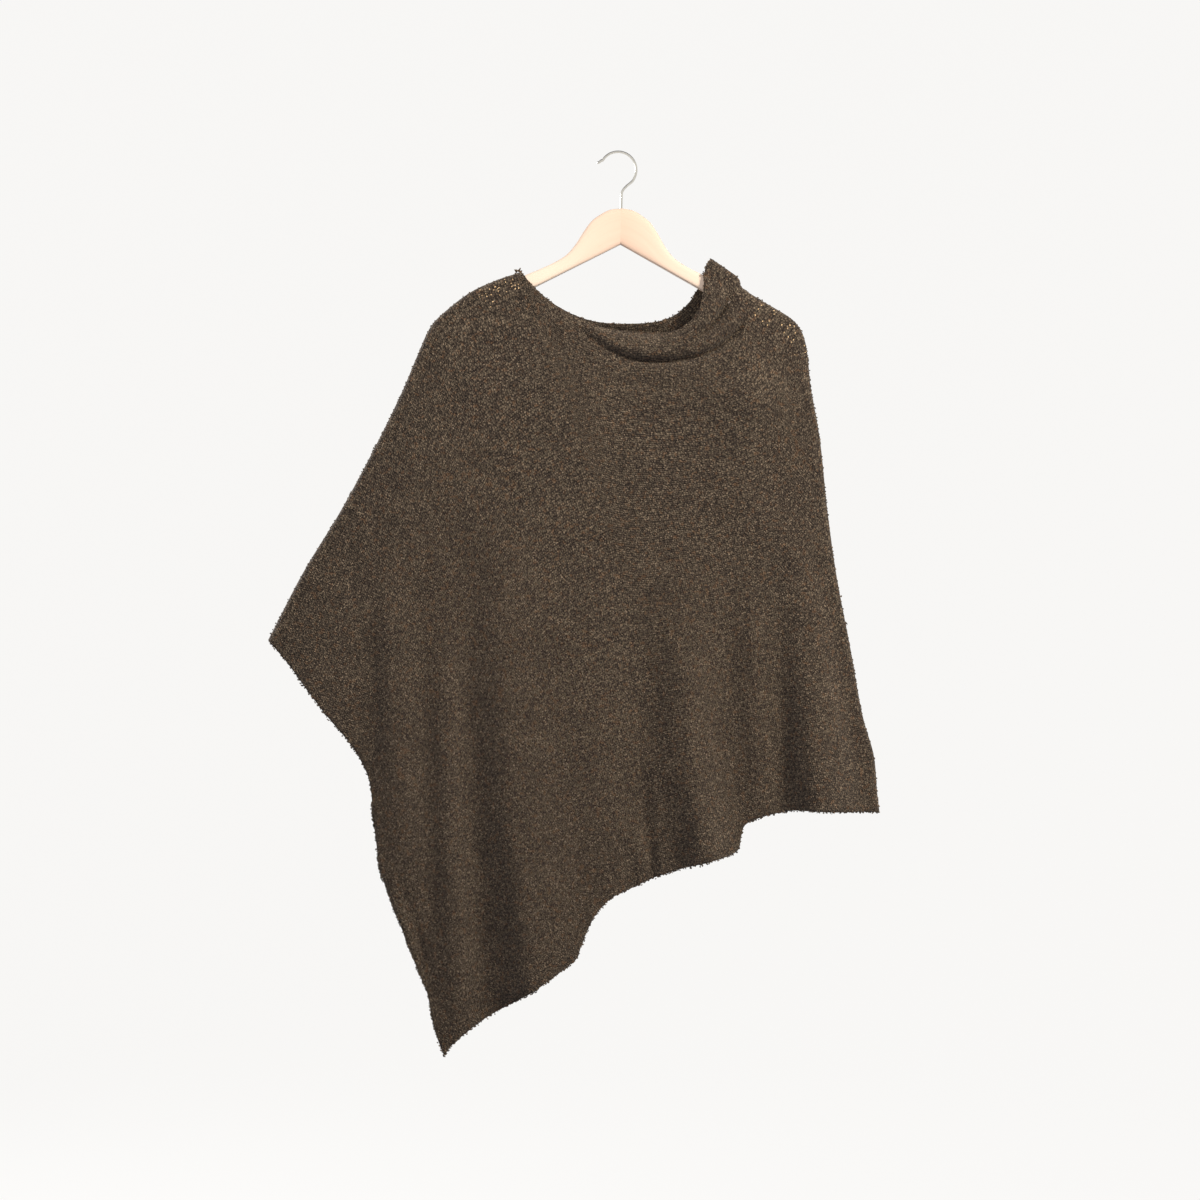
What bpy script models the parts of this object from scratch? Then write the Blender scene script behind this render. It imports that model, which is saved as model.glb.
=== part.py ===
"""Knitted poncho with a slanting hem, hung on a wooden clothes hanger, as separate solid pieces.

The origin is on the inside of the hook's bend, at its top, where a rail carries the hanger.
+X is to the right as seen from the front, -Y is the front and +Z is up. Blender's units are metres.
The knitting is one oblong folded in half: the fold runs down the right side, a seam closes the top
from the left corner to the neck, and the neck, the hem and the left side are open.
"""

import math
from collections import namedtuple

import bpy
import numpy as np
from mathutils import Vector

MM = 0.001

# Cloth
CLOTH_THICKNESS = 3.0 * MM
SEAM_GAP = 0.3 * MM
# A closed edge turns round from front to back on this radius, after a short straight lip.
EDGE_RADIUS = 8.0 * MM
EDGE_LIP = 0.8 * MM
# How far the middle of each wall lies from the plane between front and back.
HALF_DEPTH_AT_EDGE = 8.5 * MM
HALF_DEPTH_OF_BODY = 14.0 * MM
BODY_DEPTH_REACHED_AFTER = 90.0 * MM
FOLDS_START_AT = 6.0 * MM
FOLDS_FULL_AT = 40.0 * MM

# Hanger
HANGER_TILT = math.radians(1.5)
WIRE_RADIUS = 1.5 * MM
BEND_RADIUS = 22.0 * MM
CLEARANCE = 0.3 * MM
STEM_IN_WOOD = 24.0 * MM
WOOD_TOP = 44.0 * MM
# From the hook's contact point to the notch under the middle of the wood.
NOTCH = Vector((5.1 * MM, 0, -111.0 * MM))

Fold = namedtuple("Fold", "name ridge left_width right_width")


def in_metres(*rows):
    """A table of millimetres as an array of metres."""
    return np.array(rows, float) * MM


# Outline of the garment as it hangs, as (x, z) rows in millimetres from the hook's contact point.
SEAM_EDGE = in_metres(
    (-424, -589), (-382, -508), (-337, -434), (-298, -362), (-264, -293), (-244, -246),
    (-228, -211), (-208, -190), (-177, -167), (-143, -152), (-118, -144),
)
FRONT_NECK_EDGE = in_metres(
    (-118, -144), (-103, -163), (-77, -185), (-47, -201), (-18, -213), (20, -218), (55, -220),
    (79, -213), (95, -196), (102, -174), (103, -151), (106, -136), (113, -128),
)
BACK_NECK_EDGE = in_metres(
    (-118, -144), (-103, -162), (-77, -184), (-47, -198), (-18, -205), (20, -206), (48, -203),
    (70, -194), (87, -178), (99, -158), (106, -139), (113, -128),
)
FOLD_EDGE = in_metres(
    (113, -128), (129, -139), (145, -151), (150, -163), (171, -177), (203, -196), (216, -207),
    (224, -221), (229, -244), (233, -284), (244, -347), (253, -432), (264, -511), (280, -595),
    (295, -678), (309, -728), (313, -771), (316, -797),
)
HEM_EDGE = in_metres(
    (-210, -1090), (-197, -1073), (-168, -1050), (-129, -1026), (-93, -1002), (-62, -980),
    (-50, -970), (-47, -961), (-39, -940), (-28, -919), (-9, -899), (16, -887), (50, -872),
    (101, -855), (133, -847), (144, -840), (147, -826), (152, -812), (167, -804), (184, -799),
    (220, -793), (268, -795), (316, -797),
)
# How much lower than the front the back hangs, for the same rows.
BACK_HEM_DROP = in_metres(
    0, -2, -4, -3, 0, 2, 2, 1, 0, -2, -3, -2, 1, 0, -3, -3, -2, 0, 1, 2, 2, 0, 0,
)
FRONT_LEFT_EDGE = in_metres(
    (-424, -589), (-394, -623), (-356, -674), (-322, -716), (-304, -747), (-297, -768),
    (-293, -790), (-287, -819), (-285, -843), (-279, -868), (-270, -892), (-262, -912),
    (-252, -935), (-244, -960), (-236, -989), (-229, -1013), (-225, -1037), (-220, -1063),
    (-210, -1090),
)
BACK_LEFT_EDGE = in_metres(
    (-424, -589), (-394, -623), (-356, -674), (-322, -716), (-304, -749), (-299, -777),
    (-300, -797), (-296, -819), (-293, -843), (-290, -868), (-281, -892), (-274, -914),
    (-263, -940), (-255, -964), (-244, -989), (-233, -1013), (-227, -1037), (-221, -1063),
    (-210, -1090),
)

# Each fold is a ridge: its line down the cloth as (x, z, height) rows, and its width on either side,
# all in millimetres. A hollow has a negative height.
FRONT_FOLDS = (
    Fold("corner", in_metres((-330, -470, 0), (-366, -620, 5), (-380, -700, 6)), 30, 34),
    Fold(
        "left",
        in_metres((-276, -470, 0), (-270, -600, 10), (-268, -700, 13), (-262, -800, 9), (-256, -940, 5)),
        22,
        26,
    ),
    Fold(
        "slight left",
        in_metres((-206, -540, 0), (-207, -640, 9), (-204, -800, 12), (-197, -960, 13), (-192, -1060, 9)),
        18,
        18,
    ),
    Fold(
        "hollow beside broad",
        in_metres((-182, -460, 0), (-180, -640, -3), (-170, -860, -5), (-161, -1040, -5)),
        18,
        16,
    ),
    Fold(
        "broad",
        in_metres(
            (-148, -380, 0), (-140, -490, 8), (-134, -600, 15), (-128, -730, 20), (-117, -860, 25),
            (-100, -1000, 31),
        ),
        31,
        62,
    ),
    Fold("broad, right half", in_metres((-36, -480, 0), (-26, -700, 8), (-12, -900, 8)), 40, 34),
    Fold("hollow in the middle", in_metres((38, -560, 0), (42, -700, -4), (44, -890, -5)), 24, 16),
    Fold(
        "middle",
        in_metres((74, -480, 0), (82, -600, 9), (87, -720, 18), (96, -800, 25), (106, -860, 30)),
        29,
        30,
    ),
    Fold("slight right", in_metres((158, -480, 0), (163, -620, 8), (164, -700, 8), (168, -800, 4)), 15, 20),
    Fold("right", in_metres((216, -420, 0), (227, -580, 13), (235, -700, 23), (242, -810, 29)), 30, 44),
    Fold("chest swell", in_metres((-10, -272, 0), (70, -272, 4), (135, -282, 7), (190, -300, 3)), 26, 44),
    Fold(
        "neck roll",
        in_metres(
            (121, -138, 2), (123, -160, 5), (118, -184, 8), (104, -207, 10), (80, -231, 10), (44, -244, 9),
            (10, -240, 8), (-16, -226, 5), (-40, -209, 2), (-62, -194, 0),
        ),
        20,
        7,
    ),
    Fold(
        "second roll",
        in_metres(
            (162, -170, 0), (153, -188, 5), (140, -206, 8), (120, -225, 8), (96, -239, 6), (72, -247, 0),
        ),
        9,
        7,
    ),
    Fold(
        "crease under the roll",
        in_metres(
            (-62, -206, 0), (-50, -213, -1), (-23, -231, -2), (8, -247, -3), (40, -253, -4),
            (70, -252, -5), (98, -245, -6), (122, -234, -5), (142, -218, -4), (158, -200, 0),
        ),
        12,
        5,
    ),
    Fold(
        "crease by the ear",
        in_metres((147, -164, 0), (139, -178, -3), (131, -194, -3), (122, -212, 0)),
        8,
        8,
    ),
)
BACK_FOLDS = (
    Fold("corner", in_metres((-330, -470, 0), (-364, -620, 6), (-376, -700, 7)), 32, 34),
    Fold("left", in_metres((-250, -440, 0), (-246, -640, 15), (-240, -860, 24), (-232, -1010, 22)), 32, 26),
    Fold("slight left", in_metres((-182, -560, 0), (-176, -760, 7), (-168, -1040, 9)), 20, 20),
    Fold("broad", in_metres((-100, -420, 0), (-96, -640, 14), (-92, -860, 25), (-88, -1000, 31)), 36, 40),
    Fold("slight middle", in_metres((-12, -560, 0), (-8, -720, 9), (-2, -900, 11)), 24, 24),
    Fold("middle", in_metres((76, -470, 0), (80, -650, 15), (84, -880, 26)), 32, 28),
    Fold("right", in_metres((170, -440, 0), (180, -640, 14), (190, -800, 23)), 30, 34),
    Fold("slight right", in_metres((250, -560, 0), (262, -700, 9), (272, -800, 11)), 22, 24),
    Fold("neck swell", in_metres((-70, -214, 0), (-20, -232, 6), (40, -234, 8), (104, -198, 0)), 20, 24),
    Fold(
        "shoulder drape",
        in_metres((-60, -270, 0), (20, -292, 5), (110, -280, 6), (180, -250, 0)),
        26,
        26,
    ),
)

# One half of the wood: a row for each section, from the joint in the middle to the end of the arm.
# Each section runs from its top corner to its bottom corner, measured from the notch.
ArmSection = namedtuple("ArmSection", "top_x top_z bottom_x bottom_z thickness")
ARM_SECTIONS = (
    ArmSection(0, 44, 0, 0, 12),
    ArmSection(14.5, 41.5, 10, -5.3, 12),
    ArmSection(27, 34.5, 20, -10.7, 12),
    ArmSection(36.5, 26.5, 30, -16, 12),
    ArmSection(45.5, 13.5, 38, -20.3, 12),
    ArmSection(54.5, -1.5, 46, -24.5, 12),
    ArmSection(65.5, -14.5, 57, -30.4, 12),
    ArmSection(80, -24, 72, -38.4, 12),
    ArmSection(100.5, -34, 93, -49.6, 12),
    ArmSection(123.5, -44, 116, -61.6, 12),
    ArmSection(146, -54.5, 138, -72.7, 12),
    ArmSection(169.5, -66.5, 160.5, -84.7, 12),
    ArmSection(190, -79, 180, -96.3, 12),
    ArmSection(205, -91, 193, -105, 12),
    ArmSection(213, -100.5, 202, -112.5, 11),
    ArmSection(217, -107.5, 208, -118, 9.5),
    ArmSection(218, -112, 212, -119.5, 7),
    ArmSection(217, -115.5, 214.5, -118.5, 3.5),
)
POINTS_ROUND_ARM = 16
# Below 1 this squares the sections off: 1 would be an ellipse.
SECTION_POWER = 0.55

# The hook's stem and the flare at its tip, as (x, z) rows in millimetres from the bend's middle.
HOOK_SWEEP = in_metres((17.4, -13.5), (11.6, -18.6), (7.4, -23.2), (5.3, -27.4), (5.1, -31), (5.1, -38))
HOOK_FLARE = in_metres((-20.4, 11.0), (-23.2, 8.6), (-25.6, 7.9))
ARC_FROM = math.radians(-38)
ARC_TO = math.radians(150)
ARC_STEPS = 18

# How finely the panels are divided. Rows run from the top edge to the hem, columns from left to right.
PANEL_LENGTH = 0.62
PANEL_WIDTH = 0.88
NECK_STARTS = 0.63
SHOULDER_STARTS = 0.40
SHOULDER_ENDS = 0.33
EDGE_STEPS = in_metres(0, 0, 0.6, 2.4, 4.8, 8)
BAND_STEPS = in_metres(14, 20, 27, 34, 41, 49, 60, 75)
SELVEDGE_STEPS = in_metres(0, 5, 10, 17)
NECK_END_STEPS = in_metres(3, 8, 17)
CORNER_LIP = 0.3 * MM
# How soon each side's own line stops pulling on the rows and columns: higher is sooner.
TOP_PULL = 1.5
HEM_PULL = 2.0
LEFT_PULL = 2.0
RIGHT_PULL = 4.0
SLACK_AT = 0.69
SLACK_WIDTH = 0.08
NECK_SLACK = 330.0 * MM


def smooth_curve(points, per_span=12):
    """Catmull-Rom curve through the points, which keeps every column of the table, as a dense polyline."""
    padded = np.vstack([2 * points[0] - points[1], points, 2 * points[-1] - points[-2]])
    t = np.linspace(0, 1, per_span, endpoint=False)[:, None]
    spans = []
    for p0, p1, p2, p3 in zip(padded, padded[1:], padded[2:], padded[3:]):
        bend = (2 * p0 - 5 * p1 + 4 * p2 - p3) * t**2 + (3 * (p1 - p2) + p3 - p0) * t**3
        spans.append(p1 + ((p2 - p0) * t + bend) / 2)
    return np.vstack([*spans, points[-1]])


def at_fractions(curve, fractions):
    """Points of a polyline at these fractions of its length."""
    lengths = np.linalg.norm(np.diff(curve[:, :2], axis=0), axis=1)
    along = np.concatenate([[0], np.cumsum(lengths)]) / lengths.sum()
    return np.stack([np.interp(fractions, along, column) for column in curve.T], axis=-1)


def moved_inwards(curve, distance):
    """The polyline moved to the right of its own direction, which is inwards on the closed edges here."""
    along = np.gradient(curve, axis=0)
    along /= np.linalg.norm(along, axis=1)[:, None]
    return curve + distance * np.stack([along[:, 1], -along[:, 0]], axis=1)


def nearest_on(curve, x, z):
    """Each point's distance from the polyline, place along it, and side, which is above 0 at the left."""
    start = curve[:-1, :2]
    step = np.diff(curve[:, :2], axis=0)
    away = np.stack([x, z], axis=-1)[..., None, :] - start
    share = np.clip((away * step).sum(-1) / (step**2).sum(-1), 0, 1)
    off = away - share[..., None] * step
    distances = np.linalg.norm(off, axis=-1)
    sides = step[:, 0] * off[..., 1] - step[:, 1] * off[..., 0]
    best = distances.argmin(-1)[..., None]
    distance = np.take_along_axis(distances, best, -1)[..., 0]
    place = (best + np.take_along_axis(share, best, -1))[..., 0]
    return distance, place, np.take_along_axis(sides, best, -1)[..., 0]


def smooth_step(value):
    share = np.clip(value, 0, 1)
    return share * share * (3 - 2 * share)


def relief_of(folds, x, z):
    """Sum of the folds at each point: a bell across each ridge, with its own width on either side."""
    total = np.zeros_like(x)
    for fold in folds:
        ridge = smooth_curve(fold.ridge, 4)
        distance, place, side = nearest_on(ridge, x, z)
        height = np.interp(place, np.arange(len(ridge)), ridge[:, 2])
        # A ridge is listed downwards, so its direction's left is the right as seen from the front.
        width = np.where(side > 0, fold.right_width, fold.left_width) * MM
        total += height * np.exp(-((distance / width) ** 2))
    return total


def panel_lines(detail):
    """The fractions across (columns) and down (rows) of a panel, closer together at edges and shoulders.

    detail is the number of steps to the left of the shoulder, over it, along the neck, down the right
    shoulder and below it.
    """
    left, shoulder, neck, right_shoulder, below = detail
    plain = np.linspace(SELVEDGE_STEPS[-1] / PANEL_WIDTH, SHOULDER_STARTS, left + 1)
    over = np.linspace(SHOULDER_STARTS, NECK_STARTS, shoulder + 1)
    after_neck = NECK_STARTS + NECK_END_STEPS / PANEL_WIDTH
    right = 1 - EDGE_STEPS[::-1] / PANEL_WIDTH
    along_neck = np.linspace(after_neck[-1], right[0], neck + 1)
    across = np.concatenate(
        [SELVEDGE_STEPS[:-1] / PANEL_WIDTH, plain, over[1:], after_neck, along_neck[1:-1], right]
    )
    top = np.concatenate([EDGE_STEPS, BAND_STEPS]) / PANEL_LENGTH
    round_shoulder = np.linspace(top[-1], SHOULDER_ENDS, right_shoulder + 1)
    down = np.concatenate([top, round_shoulder[1:], np.linspace(SHOULDER_ENDS, 1, below + 1)[1:]])
    return across, down


def panel_outline(neck_edge, hem_edge, left_edge):
    """The four sides of a panel as smooth curves, the closed ones moved in by half the wall."""
    half_wall = CLOTH_THICKNESS / 2
    seam = moved_inwards(smooth_curve(SEAM_EDGE), half_wall)
    fold = moved_inwards(smooth_curve(FOLD_EDGE), half_wall)
    neck_points = neck_edge.copy()
    neck_points[0] = seam[-1]
    neck_points[-1] = fold[0]
    hem_points = hem_edge.copy()
    hem_points[-1] = fold[-1]
    left_points = left_edge.copy()
    left_points[0] = seam[0]
    return seam, smooth_curve(neck_points), fold, smooth_curve(hem_points), smooth_curve(left_points)


def laid_between(outline, across, down):
    """Grid between the four sides: an even net of the corners, pulled to each side's own line near it."""
    seam, neck, fold, hem, left = outline
    u = across[..., None]
    v = down[..., None]
    on_seam = at_fractions(seam, np.clip(across / NECK_STARTS, 0, 1))
    on_neck = at_fractions(neck, np.clip((across - NECK_STARTS) / (1 - NECK_STARTS), 0, 1))
    on_top = np.where(u <= NECK_STARTS, on_seam, on_neck)
    straight_top = (1 - u) * seam[0] + u * fold[0]
    straight_hem = (1 - u) * hem[0] + u * hem[-1]
    straight_left = (1 - v) * seam[0] + v * hem[0]
    straight_right = (1 - v) * fold[0] + v * hem[-1]
    net = (1 - v) * straight_top + v * straight_hem
    net += (1 - v) ** TOP_PULL * (on_top - straight_top)
    net += v**HEM_PULL * (at_fractions(hem, across) - straight_hem)
    net += (1 - u) ** LEFT_PULL * (at_fractions(left, down) - straight_left)
    net += u**RIGHT_PULL * (at_fractions(fold, down) - straight_right)
    # Below the left end of the neck the knitting hangs straight down.
    slack = np.exp(-(((across - SLACK_AT) / SLACK_WIDTH) ** 2)) * down * (1 - down) ** 6
    net[..., 0] -= NECK_SLACK * slack
    return net


def panel_points(outline, folds, across, down, outwards):
    """Middle surface of one panel as a grid of points. outwards is -1 for the front and 1 for the back."""
    across, down = np.meshgrid(across, down)
    open_top = across > NECK_STARTS
    # The second row makes the lip of the seam, and is a plain narrow row where the neck is open.
    down[1] = np.where(open_top[1], CORNER_LIP / PANEL_LENGTH, 0)
    place = laid_between(outline, across, down)
    x, z = place[..., 0], place[..., 1]
    seam, _, fold, _, _ = outline
    distance = np.minimum(nearest_on(seam, x, z)[0], nearest_on(fold, x, z)[0])
    turn = np.sqrt(1 - (1 - np.clip(distance / EDGE_RADIUS, 0, 1)) ** 2)
    depth = EDGE_LIP + (HALF_DEPTH_AT_EDGE - EDGE_LIP) * turn
    depth += (HALF_DEPTH_OF_BODY - HALF_DEPTH_AT_EDGE) * smooth_step(distance / BODY_DEPTH_REACHED_AFTER)
    fullness = smooth_step((distance - FOLDS_START_AT) / (FOLDS_FULL_AT - FOLDS_START_AT))
    depth += relief_of(folds, x, z) * fullness
    depth[0] = np.where(open_top[0], depth[0], SEAM_GAP / 2)
    depth[:, -1] = SEAM_GAP / 2
    return np.stack([x, outwards * depth, z], axis=-1)


def material(name, colour, roughness, metallic=0.0):
    made = bpy.data.materials.new(name)
    made.use_nodes = True
    shader = made.node_tree.nodes["Principled BSDF"]
    shader.inputs["Base Color"].default_value = (*colour, 1)
    shader.inputs["Roughness"].default_value = roughness
    shader.inputs["Metallic"].default_value = metallic
    return made


def in_collection(obj, collection):
    for old in list(obj.users_collection):
        old.objects.unlink(obj)
    collection.objects.link(obj)


def make_panel(name, points, finish, collection):
    """A knitted panel: a grid laid on the points, with a wall of cloth grown evenly to both sides."""
    rows, columns = points.shape[:2]
    bpy.ops.mesh.primitive_grid_add(x_subdivisions=columns - 1, y_subdivisions=rows - 1, size=1)
    panel = bpy.context.object
    panel.name = name
    panel.data.vertices.foreach_set("co", points.astype(np.float32).ravel())
    panel.data.update()
    panel.data.shade_smooth()
    panel.data.materials.append(finish)
    wall = panel.modifiers.new("wall", "SOLIDIFY")
    wall.thickness = CLOTH_THICKNESS
    wall.offset = 0
    in_collection(panel, collection)
    return panel


def curve_object(name, points, collection, **settings):
    """A curve object on a straight-sided spline through (x, y, z) points."""
    data = bpy.data.curves.new(name, "CURVE")
    for setting, value in settings.items():
        setattr(data, setting, value)
    spline = data.splines.new("POLY")
    spline.points.add(len(points) - 1)
    spline.points.foreach_set("co", np.hstack([points, np.ones((len(points), 1))]).ravel())
    spline.use_cyclic_u = data.dimensions == "2D"
    made = bpy.data.objects.new(name, data)
    collection.objects.link(made)
    return made


def cut(obj, cutter):
    boolean = obj.modifiers.new(f"minus {cutter.name}", "BOOLEAN")
    boolean.operation = "DIFFERENCE"
    boolean.object = cutter


def as_cutter(obj, parent, collection):
    in_collection(obj, collection)
    obj.parent = parent
    obj.hide_render = True
    obj.display_type = "WIRE"
    return obj


def make_arm(name, side, finish, collection):
    """One half of the wooden hanger, lofted through its sections. side is -1 for left and 1 for right."""
    sections = in_metres(*ARM_SECTIONS)
    sections[0, [0, 2]] = CLEARANCE / 2
    top, bottom = sections[:, 0:2], sections[:, 2:4]
    angles = 2 * math.pi * np.arange(POINTS_ROUND_ARM) / POINTS_ROUND_ARM
    upwards = np.sign(np.sin(angles)) * abs(np.sin(angles)) ** SECTION_POWER
    outwards = np.sign(np.cos(angles)) * abs(np.cos(angles)) ** SECTION_POWER
    place = ((top + bottom)[:, None] + (top - bottom)[:, None] * upwards[:, None]) / 2
    depth = sections[:, 4, None] / 2 * outwards
    points = np.stack([NOTCH.x + side * place[..., 0], depth, NOTCH.z + place[..., 1]], axis=-1)
    rings = np.arange(depth.size).reshape(depth.shape)
    following = np.roll(rings, -1, axis=1)
    walls = np.stack([rings[:-1], rings[1:], following[1:], following[:-1]], axis=-1).reshape(-1, 4)
    faces = [*walls.tolist(), rings[0].tolist(), rings[-1][::-1].tolist()]
    if side < 0:
        faces = [face[::-1] for face in faces]
    mesh = bpy.data.meshes.new(name)
    mesh.from_pydata(points.reshape(-1, 3).tolist(), [], faces)
    mesh.materials.append(finish)
    arm = bpy.data.objects.new(name, mesh)
    collection.objects.link(arm)
    return arm


def stem_bore(collection):
    """Cutter for the hole that takes the hook's stem."""
    length = 2 * STEM_IN_WOOD
    bpy.ops.mesh.primitive_cylinder_add(vertices=16, radius=WIRE_RADIUS + CLEARANCE, depth=length)
    bore = bpy.context.object
    bore.name = "stem_bore_cutter"
    bore.location = NOTCH + Vector((0, 0, WOOD_TOP))
    return bore


def hook_path():
    """The wire's middle line, from the stem's foot in the wood, up and over the bend, to the tip."""
    middle = Vector((0, 0, WIRE_RADIUS - BEND_RADIUS))
    angles = np.linspace(ARC_FROM, ARC_TO, ARC_STEPS)
    arc = BEND_RADIUS * np.stack([np.cos(angles), np.sin(angles)], axis=1)
    foot = NOTCH.z + WOOD_TOP - STEM_IN_WOOD + CLEARANCE - middle.z
    stem = np.array([[NOTCH.x, foot], [NOTCH.x, -42 * MM]])
    sweep = smooth_curve(HOOK_SWEEP[::-1], 3)
    flat = np.vstack([stem, sweep, arc[1:], HOOK_FLARE])
    return np.stack([flat[:, 0] + middle.x, np.zeros(len(flat)), flat[:, 1] + middle.z], axis=1)


def make_hook(finish, collection):
    hook = curve_object(
        "hanger_hook", hook_path(), collection, dimensions="3D", bevel_depth=WIRE_RADIUS,
        bevel_resolution=2, use_fill_caps=True,
    )
    hook.data.materials.append(finish)
    return hook


def clear_scene():
    for obj in list(bpy.data.objects):
        bpy.data.objects.remove(obj)


def main():
    clear_scene()
    garment = bpy.data.collections.new("poncho_on_hanger")
    cutters = bpy.data.collections.new("cutters")
    for collection in (garment, cutters):
        bpy.context.scene.collection.children.link(collection)

    knit = material("brown_knit", (0.075, 0.055, 0.040), 0.95)
    wood = material("pale_wood", (0.93, 0.77, 0.56), 0.45)
    steel = material("plated_steel", (0.78, 0.76, 0.70), 0.2, 1.0)

    front_outline = panel_outline(FRONT_NECK_EDGE, HEM_EDGE, FRONT_LEFT_EDGE)
    front_points = panel_points(front_outline, FRONT_FOLDS, *panel_lines((12, 9, 20, 8, 17)), -1)
    make_panel("poncho_front", front_points, knit, garment)
    back_hem = HEM_EDGE - np.stack([0 * BACK_HEM_DROP, BACK_HEM_DROP], axis=1)
    back_outline = panel_outline(BACK_NECK_EDGE, back_hem, BACK_LEFT_EDGE)
    back_points = panel_points(back_outline, BACK_FOLDS, *panel_lines((10, 8, 14, 7, 14)), 1)
    make_panel("poncho_back", back_points, knit, garment)

    hanger = bpy.data.objects.new("hanger", None)
    garment.objects.link(hanger)
    bore = as_cutter(stem_bore(cutters), hanger, cutters)
    for name, side in (("hanger_arm_left", -1), ("hanger_arm_right", 1)):
        arm = make_arm(name, side, wood, garment)
        arm.parent = hanger
        cut(arm, bore)
    make_hook(steel, garment).parent = hanger
    hanger.rotation_euler = (0, HANGER_TILT, 0)


main()
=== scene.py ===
# %% [markdown]
# # A knitted poncho on its hanger
#
# The poncho is one knitted oblong folded in half. The fold runs down the right side, a seam closes the
# top from the left corner to the neck, and the hem slants because the oblong hangs from that seam.
# Its yarn is nubby, so the cloth is a field of small tufts, with painted shade darkening the pits between
# them.
#
# The imported model gives the frame: its origin is where the hook rests on a rail, -Y is the front, and
# +Z is up. Everything below is worked out in metres in that frame.

# %% Load the imported model
import math
from collections import namedtuple

import bpy
import numpy as np
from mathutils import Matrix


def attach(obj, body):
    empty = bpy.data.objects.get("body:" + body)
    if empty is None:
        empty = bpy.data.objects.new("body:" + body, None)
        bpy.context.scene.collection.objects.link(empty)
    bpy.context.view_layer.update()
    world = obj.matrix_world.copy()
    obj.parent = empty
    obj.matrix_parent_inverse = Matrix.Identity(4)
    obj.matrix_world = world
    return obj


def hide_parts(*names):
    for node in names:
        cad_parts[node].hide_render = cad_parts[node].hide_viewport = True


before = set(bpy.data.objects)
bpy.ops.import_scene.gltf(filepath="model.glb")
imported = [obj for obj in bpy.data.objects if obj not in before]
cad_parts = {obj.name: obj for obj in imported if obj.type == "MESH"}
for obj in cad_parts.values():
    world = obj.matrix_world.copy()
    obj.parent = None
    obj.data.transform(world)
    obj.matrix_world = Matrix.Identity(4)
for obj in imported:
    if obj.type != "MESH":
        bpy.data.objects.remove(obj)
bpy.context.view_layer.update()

MM = 0.001
print("nodes", sorted(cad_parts))

# %% [markdown]
# ## Lines and distances
#
# Every edge and every fold of the poncho is a line drawn by a few points. A Catmull-Rom curve passes
# through its points, so the points can be read off the garment. Folds need the distance to a line, and
# how far along it the nearest place lies.

# %% Tools for lines
def in_metres(*rows):
    """A table of millimetres as an array of metres."""
    return np.array(rows, float) * MM


def smooth_line(points, per_span=12):
    """Catmull-Rom: each span is a cubic whose end slopes are half the step between its neighbours."""
    padded = np.vstack([2 * points[0] - points[1], points, 2 * points[-1] - points[-2]])
    p0, p1, p2, p3 = (padded[i : len(padded) - 3 + i, None] for i in range(4))
    t = np.linspace(0, 1, per_span, endpoint=False)[:, None]
    bend = (2 * p0 - 5 * p1 + 4 * p2 - p3) * t**2 + (3 * (p1 - p2) + p3 - p0) * t**3
    spans = p1 + ((p2 - p0) * t + bend) / 2
    return np.vstack([spans.reshape(-1, points.shape[1]), points[-1]])


def steps_of(line):
    """Length of each step from point to point."""
    return np.linalg.norm(np.diff(line, axis=0), axis=1)


def from_start(line):
    """How far along the line each point lies: the running sum of its steps."""
    return np.concatenate([[0], np.cumsum(steps_of(line))])


def at_fractions(line, fractions):
    """Points at these fractions of a line's length."""
    along = from_start(line) / steps_of(line).sum()
    return np.stack([np.interp(fractions, along, column) for column in line.T], axis=-1)


def moved_inwards(line, distance):
    """Each point moved by a distance to the right of the line's own direction."""
    along = np.gradient(line, axis=0)
    along /= np.linalg.norm(along, axis=1)[:, None]
    return line + distance * np.stack([along[:, 1], -along[:, 0]], axis=1)


def nearest_on(line, x, z):
    """Distance to the nearest step of a line, the place along it, and the side, above 0 at the left."""
    start = line[:-1, :2]
    step = np.diff(line[:, :2], axis=0)
    shape = x.shape
    nearest = np.full(x.size, np.inf)
    place = np.zeros(x.size)
    side = np.zeros(x.size)
    points = np.stack([x.ravel(), z.ravel()], axis=1)
    for number, (a, along) in enumerate(zip(start, step)):
        away = points - a
        share = np.clip(away @ along / (along @ along), 0, 1)
        off = away - share[:, None] * along
        distance = np.hypot(off[:, 0], off[:, 1])
        closer = distance < nearest
        nearest = np.where(closer, distance, nearest)
        place = np.where(closer, number + share, place)
        side = np.where(closer, along[0] * off[:, 1] - along[1] * off[:, 0], side)
    return nearest.reshape(shape), place.reshape(shape), side.reshape(shape)


def smooth_step(value):
    """0 below 0, 1 above 1, and 3t^2 - 2t^3 between."""
    share = np.clip(value, 0, 1)
    return share * share * (3 - 2 * share)


def bell(distance, width):
    """exp(-(distance / width)^2): 1 in the middle and nearly 0 from twice the width on."""
    return np.exp(-((distance / width) ** 2))


# %% [markdown]
# ## The outline as it hangs
#
# Each table is a side of the garment as (x, z) in millimetres from the hook's contact point. The front
# and back share the seam and the fold, and have their own neck, hem and left edge.

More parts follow.
